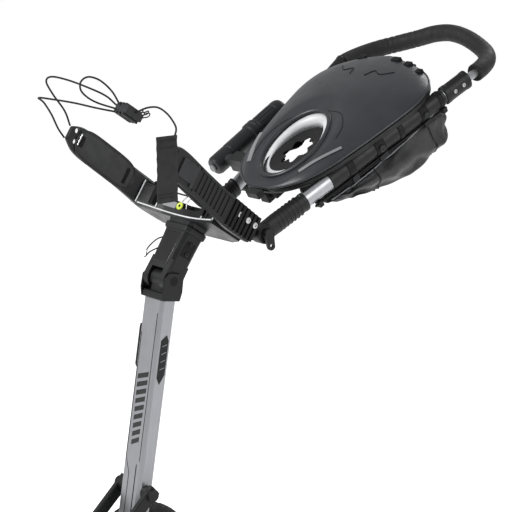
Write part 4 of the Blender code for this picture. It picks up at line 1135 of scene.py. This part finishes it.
def make_arm_ribs(side, sign):
    """Frame and ribs on the arm's outer face, and the root block at its heel."""
    ribs = []
    for i in range(8):
        forward = 0.05 + 0.011 * i
        x, up, thick, tall = arm_at(forward)
        place = BRACKET.moved(sign * (x + thick), -forward, up)
        ribs.append(block(place, (-0.003, -0.0013, -tall * 0.78), (0.0016, 0.0013, tall * 0.78)))
    for level in (-0.8, 0.8):
        rings = []
        for i in range(19):
            forward = 0.044 + 0.094 * i / 18
            x, up, thick, tall = arm_at(forward)
            centre = BRACKET.at(sign * (x + thick - 0.0005), -forward, up + tall * level)
            rings.append(
                [centre + BRACKET.axes[0] * a + BRACKET.axes[2] * b for a, b in oval(0.0024, 0.0022, 10, 0.6)]
            )
        ribs.append(loft(rings))
    piece(f"arm_ribs_{side}", merge(*ribs), "black", "upper_frame", (), 0.0004)
    plate = []
    for forward, half, up_by, tall_by in ((0.166, 0.02, 0.0, 0.0165), (0.146, 0.004, 0.0, 0.0205)):
        x, up, thick, _ = arm_at(forward)
        place = BRACKET.moved(sign * (x + thick), -forward, up + up_by).turned(sign * math.radians(6.5))
        plate.append(block(place, (-0.0032, -half, -tall_by), (0.0032, half, tall_by)))
    piece(f"arm_plate_{side}", merge(*plate), "dark_grey", "upper_frame", (), 0.0022)
    root = []
    for i in range(7):
        forward = -0.03 + 0.0105 * i
        x, up, thick, tall = arm_at(forward)
        place = BRACKET.moved(sign * (x + thick * 0.6), -forward, up)
        root.append(
            block(
                place, (-0.004 if sign > 0 else -0.0075, -0.0034, -tall * 0.92),
                (0.0075 if sign > 0 else 0.004, 0.0034, tall * 0.92)
            )
        )
    piece(f"arm_root_ribs_{side}", merge(*root), "deep_black", "upper_frame", (), 0.0008)
    heel = []
    for forward, reach in ((-0.026, 0.009), (-0.006, 0.01), (0.014, 0.008)):
        x, up, thick, _ = arm_at(forward)
        line = [
            (0, 0), (0.0055, 0), (0.0055, 0.0022), (0.0044, 0.003), (0.0024, 0.003), (0.0024, 0.0018),
            (0, 0.0018)
        ]
        place = BRACKET.at(sign * (x + reach + 0.0025), -forward, up + 0.006)
        heel.append(turned(place, (sign, 0, 0), line, 24))
    piece(f"arm_bolts_{side}", merge(*heel), "steel", "upper_frame")


def make_arm_pad(side, sign):
    """Crowned rubber pad on the arm's inner face, with a stitched-looking edge bead and dark blocks painted as the
    shade inside its slots.
    """
    thickness, rows = 0.0034, 34
    low, high = 0.0655, 0.205
    rings, edge_up, edge_down = [], [], []
    for i in range(rows + 1):
        share = i / rows
        forward = low + (high - low) * share
        x, up, thick, _ = arm_at(forward)
        reach = (1 - abs(2 * share - 1) ** 5) ** 0.42 if 0 < share < 1 else 0.12
        tall = 0.0285 * max(reach, 0.12)
        face = x - thick - 0.0006
        ring = []
        for a, b in oval(thickness / 2, tall, 28, 0.55):
            crown = 0.0006 * (1 - (b / tall) ** 2)
            inner_side = a < 0
            ring.append(
                BRACKET.at(sign * (face - thickness / 2 + a - (crown if inner_side else 0)), -forward, up + b)
            )
        rings.append(ring)
        if 2 <= i <= rows - 2:
            edge_up.append(BRACKET.at(sign * (face - thickness - 0.0002), -forward, up + tall * 0.86))
            edge_down.append(BRACKET.at(sign * (face - thickness - 0.0002), -forward, up - tall * 0.86))
    name = f"arm_pad_{side}"
    piece(f"{name}_crowned", loft(rings), "pad", "upper_frame", (name,), angle=50)
    beads = closed_line_bead(edge_up + list(reversed(edge_down)), 0.0007)
    piece(f"pad_bead_{side}", beads, "rubber", "upper_frame")
    # Dark blocks painted as the shade inside the pad's slots.
    slot_shades = []
    for forward, span in ((0.193, 0.02), (0.086, 0.03)):
        x, up, thick, _ = arm_at(forward)
        place = BRACKET.moved(sign * (x - thick - thickness - 0.0012), -forward, up)
        slot_shades.append(block(place, (-0.0009, -0.0034, -span / 2), (0.0009, 0.0034, span / 2)))
    piece(f"pad_slot_shades_{side}", merge(*slot_shades), "deep_black", "upper_frame", (), 0.0004)
    x, up, thick, _ = arm_at(0.2)
    start = BRACKET.at(sign * (x - thick - 0.0058), -0.2005, up - 0.011)
    end = BRACKET.at(sign * (x - thick - 0.0058), -0.2005, up + 0.011)
    piece(f"pad_buckle_{side}", rod(start, end, 0.0011, 12), "steel", "upper_frame")


def closed_line_bead(points, radius):
    """Round bead along a closed line in a plane square to the bracket's x axis."""
    rings = []
    for i, point in enumerate(points):
        along = (points[(i + 1) % len(points)] - points[i - 1]).normalized()
        side = along.cross(BRACKET.axes[0]).normalized()
        rings.append([point + side * a + BRACKET.axes[0] * b for a, b in oval(radius, radius, 8)])
    return loft(rings, round_again=True)


def make_bracket():
    """Bag bracket with its ribs, pads, pale lines painted as edge highlights, wire hoops and blank tab."""
    refine("bag_bracket", "black", 0.0012)
    for side, sign in SIDES:
        blocks, bars = [], []
        for i in range(4):
            place = BRACKET.moved(sign * (0.074 + 0.0085 * i), -0.0335 + 0.0034 * i, 0.03)
            blocks.append(block(place, (-0.0034, -0.01, -0.02), (0.0034, 0.016, 0.026)))
        piece(
            f"bracket_side_ribs_{side}", merge(*blocks), "deep_black", "upper_frame", (),
            0.001
        )
        # Thin pale rods painted as the highlights on the tray's side edges.
        for x, n in ((0.0665, 0.0335), (0.112, 0.0455)):
            start, end = BRACKET.at(sign * x, -n - 0.0008, 0.006), BRACKET.at(sign * x, -n - 0.0008, 0.05)
            bars.append(rod(start, end, 0.0013, 12))
        piece(f"tray_side_highlight_{side}", merge(*bars), "pale", "upper_frame")
        pads = []
        for i in range(4):
            place = BRACKET.moved(sign * (0.048 + 0.012 * i), 0.0485, 0.024)
            pads.append(block(place, (-0.0035, -0.002, -0.016), (0.0035, 0.0025, 0.014)))
        piece(f"bracket_rear_pads_{side}", merge(*pads), "black", "upper_frame", (), 0.0006)
        ear = []
        for radius, far in ((0.0165, 0.0), (0.0125, 0.0016)):
            line = [(0.006, 0.058 - far), (radius, 0.058 - far), (radius, 0.06), (0.006, 0.06)]
            ear.append(turned(PIVOTS["handle_tilt"], (sign, 0, 0), line, 36))
        piece(f"ear_boss_{side}", merge(*ear), "black", "upper_frame", (), 0.0004)
    front = [
        (-0.108, 0.0445), (-0.085, 0.0375), (-0.05, 0.0285), (-0.018, 0.0236), (0.018, 0.0236),
        (0.05, 0.0285)
    ]
    front += [(0.085, 0.0375), (0.108, 0.0445)]
    # The pale foot bead is a painted highlight along the tray's lower edge; the black edge bead is moulded.
    beads = (("tray_foot_highlight", 0.006, 0.0014, "pale"), ("tray_edge_bead", 0.0445, 0.0016, "black"))
    for name, level, radius, paint in beads:
        path = smooth_path([BRACKET.at(x, -n - 0.0004, level) for x, n in front], 6)
        piece(
            name, loft(path_rings(path, radius, radius, 10, BRACKET.axes[2])), paint, "upper_frame",
        )
    hoops = []
    for x in (-0.02, -0.006):
        path = [
            (x, -0.01, 0.012), (x - 0.004, -0.016, 0.034), (x + 0.002, -0.004, 0.056),
            (x + 0.016, 0.014, 0.058), (x + 0.024, 0.026, 0.04)
        ]
        points = smooth_path([BRACKET.at(*p) for p in path], 8)
        hoops.append(loft(path_rings(points, 0.0012, 0.0012, 10, (1, 0, 0))))
    piece("tray_wire_hoops", merge(*hoops), "steel", "upper_frame")
    place = BRACKET.moved(-0.034, -0.028, 0.0215).turned(math.radians(8.7))
    tab = block(place, (-0.02, -0.001, -0.006), (0.012, 0.0012, 0.006))
    piece("tray_tab", tab, "grey", "upper_frame", (), 0.0006)
    stud = [(0.0026, -0.0004), (0.0072, -0.0004), (0.0072, 0.0012), (0.006, 0.002), (0.0026, 0.0016)]
    piece(
        "tray_stud", turned(place.at(0.02, 0, 0.001), place.axes[1] * -1, stud, 28), "signal",
        "upper_frame", (), 0.0003
    )


def make_strap():
    """Webbing strap that hangs from the left arm's tip, with its stitched ends."""
    low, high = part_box("hanging_strap")
    middle_x, middle_y = (low.x + high.x) / 2, (low.y + high.y) / 2
    rows = 30
    rings = []
    for i in range(rows + 1):
        share = i / rows
        z = low.z + (high.z - low.z) * share
        sway = 0.0035 * math.sin(share * math.pi) ** 2 - 0.002 * share
        half = 0.0215 + 0.0004 * math.sin(share * 40)
        rings.append(
            [Vector((middle_x + a + sway * 0.3, middle_y + b, z)) for a, b in oval(0.00095, half, 28, 0.35)]
        )
    strap = piece(
        "hanging_strap_webbing", loft(rings), "webbing", "upper_frame", ("hanging_strap",),
        angle=50
    )
    stitches = []
    for z in (high.z - 0.008, high.z - 0.02, low.z + 0.008, low.z + 0.014):
        for i in range(9):
            y = middle_y - 0.016 + 0.004 * i
            share = (z - low.z) / (high.z - low.z)
            x = middle_x + 0.0017 + 0.3 * (0.0035 * math.sin(share * math.pi) ** 2 - 0.002 * share)
            stitches.append(
                block(Frame((x, y, z), *WORLD.axes), (-0.0009, -0.0012, -0.0004), (0.0001, 0.0012, 0.0004))
            )
    piece("strap_stitches", merge(*stitches), "dark_grey", "upper_frame")


def make_hook():
    """Ribbed hook that gathers the cords, with its comb of wire prongs."""
    refine("strap_hook", "dark_grey", 0.0012)
    prongs = []
    for i, x in enumerate((-0.014, -0.006, 0.002, 0.01, 0.017)):
        rise = 0.004 if i % 2 else 0.0
        path = [
            (x, -0.212, 0.104), (x - 0.002, -0.204, 0.11 + rise), (x, -0.196, 0.117 + rise),
            (x + 0.004, -0.199, 0.122 + rise), (x + 0.006, -0.208, 0.118)
        ]
        points = smooth_path([BRACKET.at(*p) for p in path], 6)
        prongs.append(loft(path_rings(points, 0.0011, 0.0011, 10, (1, 0, 0))))
    piece("hook_prongs", merge(*prongs), "deep_black", "upper_frame")
    bars = []
    for i in range(6):
        place = BRACKET.moved(-0.013 + 0.0055 * i, -0.225, 0.1142)
        bars.append(block(place, (-0.001, -0.015, -0.001), (0.001, 0.015, 0.0016)))
    piece("hook_ribs", merge(*bars), "black", "upper_frame", (), 0.0004)


# ---------------------------------------------------------------- main tube and fold joint


def make_main_tube():
    """Main tube with plain graphics in place of lettering, side badges and a rail."""
    refine("main_tube", "main_tube", 0.001)
    front, side = -0.017, 0.028
    face = Frame(TUBE.at(0, front, 0), TUBE.axes[0], TUBE.axes[2], TUBE.axes[1] * -1)
    flank = Frame(TUBE.at(side, 0, 0), TUBE.axes[1], TUBE.axes[2], TUBE.axes[0])
    back_flank = Frame(TUBE.at(-side, 0, 0), TUBE.axes[1] * -1, TUBE.axes[2], TUBE.axes[0] * -1)
    film = 0.00035
    bars = []
    for i in range(9):
        c = -0.172 - 0.015 * i
        wide = 0.015 - 0.0006 * i
        outline = [(-wide, c - 0.0045), (wide, c + 0.005), (wide, c - 0.004), (-wide, c - 0.0135)]
        bars.append(prism(outline, face, -0.0004, film))
    piece("tube_bars", merge(*bars), "gloss_black", "chassis")
    lines = []
    for line in (
        [(0.0192, -0.06), (0.0205, -0.06), (0.0205, -0.33), (0.0192, -0.33)],
        [(-0.0205, -0.1), (-0.0192, -0.1), (-0.0192, -0.33), (-0.0205, -0.33)],
        [(-0.0205, -0.33), (-0.0192, -0.33), (-0.006, -0.356), (-0.0073, -0.356)],
        [(-0.0073, -0.356), (-0.006, -0.356), (-0.006, -0.52), (-0.0073, -0.52)],
    ):
        lines.append(prism(line, face, -0.0004, film))
    piece("tube_lines", merge(*lines), "gloss_black", "chassis")
    for name, place in (("left", flank), ("right", back_flank)):
        badge = [
            (-0.008, -0.108), (0.0035, -0.098), (0.0085, -0.108), (0.0085, -0.17), (-0.001, -0.188),
            (-0.008, -0.176)
        ]
        piece(
            f"tube_badge_{name}", prism(badge, place, -0.0006, 0.0008), "black", "chassis",
            (), 0.0004
        )
        slits = []
        for i in range(4):
            c = -0.118 - 0.014 * i
            slits.append(
                prism(
                    [(-0.0045, c), (0.0055, c + 0.004), (0.0055, c + 0.0025), (-0.0045, c - 0.0015)], place,
                    0.0004, 0.0011
                )
            )
        piece(f"badge_slits_{name}", merge(*slits), "grey", "chassis")
    rail = prism(
        [(-0.0285, -0.092), (-0.027, -0.086), (-0.0245, -0.086), (-0.0245, -0.166), (-0.0285, -0.16)],
        Frame(TUBE.at(0, -0.015, 0), TUBE.axes[0], TUBE.axes[2], TUBE.axes[1] * -1), -0.004, 0.0016
    )
    piece("tube_rail", rail, "black", "chassis", (), 0.0006)
    inset = prism(
        [(0.0115, -0.34), (0.0135, -0.336), (0.0135, -0.545), (0.0115, -0.545)], face, -0.0004, film
    )
    piece("tube_inset", inset, "deep_black", "chassis")


def make_fold_joint():
    """Fold housings with side shields, neck panels, collar and wire bail."""
    refine("lower_fold_housing", "black", 0.0016, 3)
    refine("upper_fold_housing", "black", 0.0018, 3)
    refine("fold_pin", "deep_black", 0.001)
    face = Frame(NECK.at(0, -0.0212, 0), NECK.axes[0], NECK.axes[2], NECK.axes[1] * -1)
    outline = [(-0.019, 0.024), (0.019, 0.024), (0.0205, 0.084), (-0.0205, 0.084)]
    piece(
        "neck_front_panel", prism(outline, face, -0.002, 0.0013), "gloss_black", "upper_frame",
        (), 0.001
    )
    for side, sign in SIDES:
        flank = Frame(NECK.at(sign * 0.0306, 0, 0), NECK.axes[1], NECK.axes[2], NECK.axes[0] * sign)
        pocket = [(-0.0125, 0.046), (0.0125, 0.046), (0.013, 0.08), (-0.013, 0.08)]
        piece(
            f"neck_side_panel_{side}", prism(pocket, flank, -0.002, 0.0011), "deep_black", "upper_frame",
            (), 0.0008
        )
        bolts = []
        for s in (0.053, 0.073):
            line = [
                (0, 0), (0.0042, 0), (0.0042, 0.0014), (0.0034, 0.002), (0.002, 0.002), (0.002, 0.001),
                (0, 0.001)
            ]
            bolts.append(turned(flank.at(0, s, 0.0009), flank.axes[2], line, 20))
        piece(f"neck_bolts_{side}", merge(*bolts), "black", "upper_frame")
    shields = []
    for sign in (1, -1):
        flank = Frame(TUBE.at(sign * 0.03, 0, 0), TUBE.axes[1], TUBE.axes[2], TUBE.axes[0] * sign)
        outline = [(-0.019, -0.036), (0.019, -0.036), (0.0225, -0.02), (0.0215, 0.004), (0.011, 0.015)]
        outline += [(-0.011, 0.015), (-0.0215, 0.004), (-0.0225, -0.02)]
        shields.append(prism(outline, flank, 0.0, 0.0034))
    piece("fold_shields", merge(*shields), "black", "chassis", (), 0.0014)
    collar = [
        [NECK.at(a, b, s) for a, b in chamfered(w, d, 0.007)]
        for s, w, d in (
            (0.088, 0.0345, 0.0238), (0.0905, 0.0362, 0.0252), (0.0985, 0.0368, 0.0256),
            (0.1002, 0.035, 0.0242)
        )
    ]
    piece("neck_collar", loft(collar), "black", "upper_frame", (), 0.0007)
    bail = [
        (-0.029, -0.012, 0.074), (-0.039, -0.02, 0.062), (-0.0445, -0.026, 0.04), (-0.0425, -0.025, 0.024)
    ]
    bail += [(-0.0385, -0.022, 0.036), (-0.029, -0.016, 0.049)]
    wire("release_bail", [NECK.at(*p) for p in bail], 0.0012, "deep_black", "upper_frame")
    tip = [NECK.at(-0.0446, -0.026, 0.036), NECK.at(-0.0424, -0.025, 0.025)]
    piece("bail_ferrule", rod(*tip, 0.0021, 16), "steel", "upper_frame", (), 0.0003)


# ---------------------------------------------------------------- running gear


def make_tyre(name, centre, radius, width, blocks):
    """Tyre with a rounded crown and a chevron tread cut into it."""
    half, inner = width / 2, radius - 0.03
    steps = blocks * 8
    section = [
        (inner, -half + 0.006), (inner + 0.008, -half + 0.0022), (radius - 0.014, -half),
        (radius - 0.009, -half + 0.0012)
    ]
    crown = 18
    for i in range(crown + 1):
        t = -1 + 2 * i / crown
        section.append((radius - 0.005 * abs(t) ** 2.6, t * (half - 0.0045)))
    section += [
        (radius - 0.009, half - 0.0012), (radius - 0.014, half), (inner + 0.008, half - 0.0022),
        (inner, half - 0.006)
    ]
    place = axis_frame(centre, (1, 0, 0))
    rings = []
    for r, along in section:
        ring = []
        for i in range(steps):
            depth = 0.0
            if r > radius - 0.0052:
                phase = (i / 8 + abs(along) / half * 0.9) % 1.0
                centre_groove = abs(abs(along) - half * 0.34) < 0.0018
                depth = 0.0022 if phase < 0.26 or centre_groove else 0.0
            angle = 2 * math.pi * i / steps
            ring.append(place.at((r - depth) * math.cos(angle), (r - depth) * math.sin(angle), along))
        rings.append(ring)
    piece(f"{name}_tread", loft(rings, round_again=True), "tyre", BODY_OF[name], (name,), angle=28)


def make_running_gear():
    """Wheels, axles, front arm and lower bag support."""
    for side, sign in SIDES:
        centre = PIVOTS[f"{side}_wheel_spin"]
        make_tyre(f"{side}_tyre", centre, 0.135, 0.046, 44)
        refine(f"{side}_rim", "dark_grey", 0.0012)
        refine(f"{side}_release_button", "grey", 0.0006)
        refine(f"{side}_drive_unit", "steel", 0.0004)
        refine(f"{side}_drive_shaft", "steel", 0.0004)
        radius = 0.0975
        line = [
            (radius - 0.0018, 0.0), (radius + 0.0018, 0.0), (radius + 0.0012, 0.0022),
            (radius - 0.0012, 0.0022)
        ]
        trim = turned(centre + Vector((sign * 0.0155, 0, 0)), (sign, 0, 0), line, 72)
        piece(f"{side}_rim_trim", trim, "grey", f"{side}_wheel", (), 0.0003)
    make_tyre("front_tyre", PIVOTS["front_wheel_spin"], 0.115, 0.04, 38)
    refine("front_rim", "dark_grey", 0.0012)
    refine("front_axle", "steel", 0.0006)
    refine("arm_pivot_pin", "black", 0.001)
    refine("rear_axle_tube", "axle_tube", 0.0006)
    for name in ("front_arm_left", "front_arm_right"):
        refine(name, "black", 0.001)
    refine("lower_bag_support", "black", 0.0012)
    for name in ("lower_pad_left", "lower_pad_right"):
        refine(name, "pad", 0.001)
    ends = []
    for sign in (1, -1):
        line = [
            (0.0268, 0.2195), (0.0288, 0.2195), (0.03, 0.221), (0.03, 0.227), (0.0288, 0.2285),
            (0.0268, 0.2285)
        ]
        ends.append(
            turned(
                Vector((0, PIVOTS["left_wheel_spin"].y, PIVOTS["left_wheel_spin"].z)), (sign, 0, 0), line,
                40
            )
        )
    piece("axle_end_collars", merge(*ends), "black", "chassis", (), 0.0004)
    ribs = []
    place = leaning((0, -0.412, 0.3), math.radians(17.5))
    for x in (-0.072, -0.048, -0.024, 0.0, 0.024, 0.048, 0.072):
        ribs.append(block(place, (x - 0.0014, -0.1, 0.006), (x + 0.0014, -0.002, 0.0084)))
    piece("support_ribs", merge(*ribs), "black", "front_arm", (), 0.0005)


def make_chassis():
    """Chassis and battery with their trim."""
    refine("chassis_shell", "black", 0.0016, 3)
    refine("chassis_cover", "charcoal", 0.001)
    refine("controller_board", "board", 0.0)
    refine("battery_tray", "black", 0.0012)
    refine("battery_pack", "charcoal", 0.0018, 3)
    refine("battery_handle", "black", 0.0014)
    refine("power_button", "grey", 0.0006)
    low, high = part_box("battery_pack")
    grooves = []
    for i in range(5):
        z = low.z + 0.03 + 0.009 * i
        for x, sign in ((high.x, 1), (low.x, -1)):
            grooves.append(
                block(WORLD, (x - 0.0006, low.y + 0.03, z), (x + 0.0006, high.y - 0.03, z + 0.003))
            )
        grooves.append(
            block(WORLD, (low.x + 0.03, low.y - 0.0006, z), (high.x - 0.03, low.y + 0.0006, z + 0.003))
        )
    piece("battery_grip_lines", merge(*grooves), "black", "battery", (), 0.0002)
    lamps = []
    for i in range(4):
        x = -0.018 + 0.012 * i
        lamps.append(
            turned(
                (x, low.y + 0.04, high.z - 0.0004), (0, 0, 1),
                [(0, 0), (0.0024, 0), (0.0024, 0.0007), (0.0018, 0.0012), (0, 0.0012)], 20
            )
        )
    piece("charge_lamps", merge(*lamps), "signal", "battery")
    vents = []
    for i in range(5):
        for sign in (1, -1):
            y = -0.11 - 0.013 * i
            vents.append(
                block(
                    WORLD, (sign * 0.0371 - 0.0006, y - 0.0022, 0.112),
                    (sign * 0.0371 + 0.0006, y + 0.0022, 0.146)
                )
            )
    piece("chassis_vents", merge(*vents), "deep_black", "chassis", (), 0.0003)


make_cords()
make_side_frame()
make_handle()
make_lid()
make_cup_well()
make_console()
make_bag()
make_umbrella()
make_arms()
make_bracket()
make_strap()
make_hook()
make_main_tube()
make_fold_joint()
make_running_gear()
make_chassis()
refine("handle_pivot_rod", "steel", 0.0006)
refine("handle_lock_lever", "black", 0.0008)
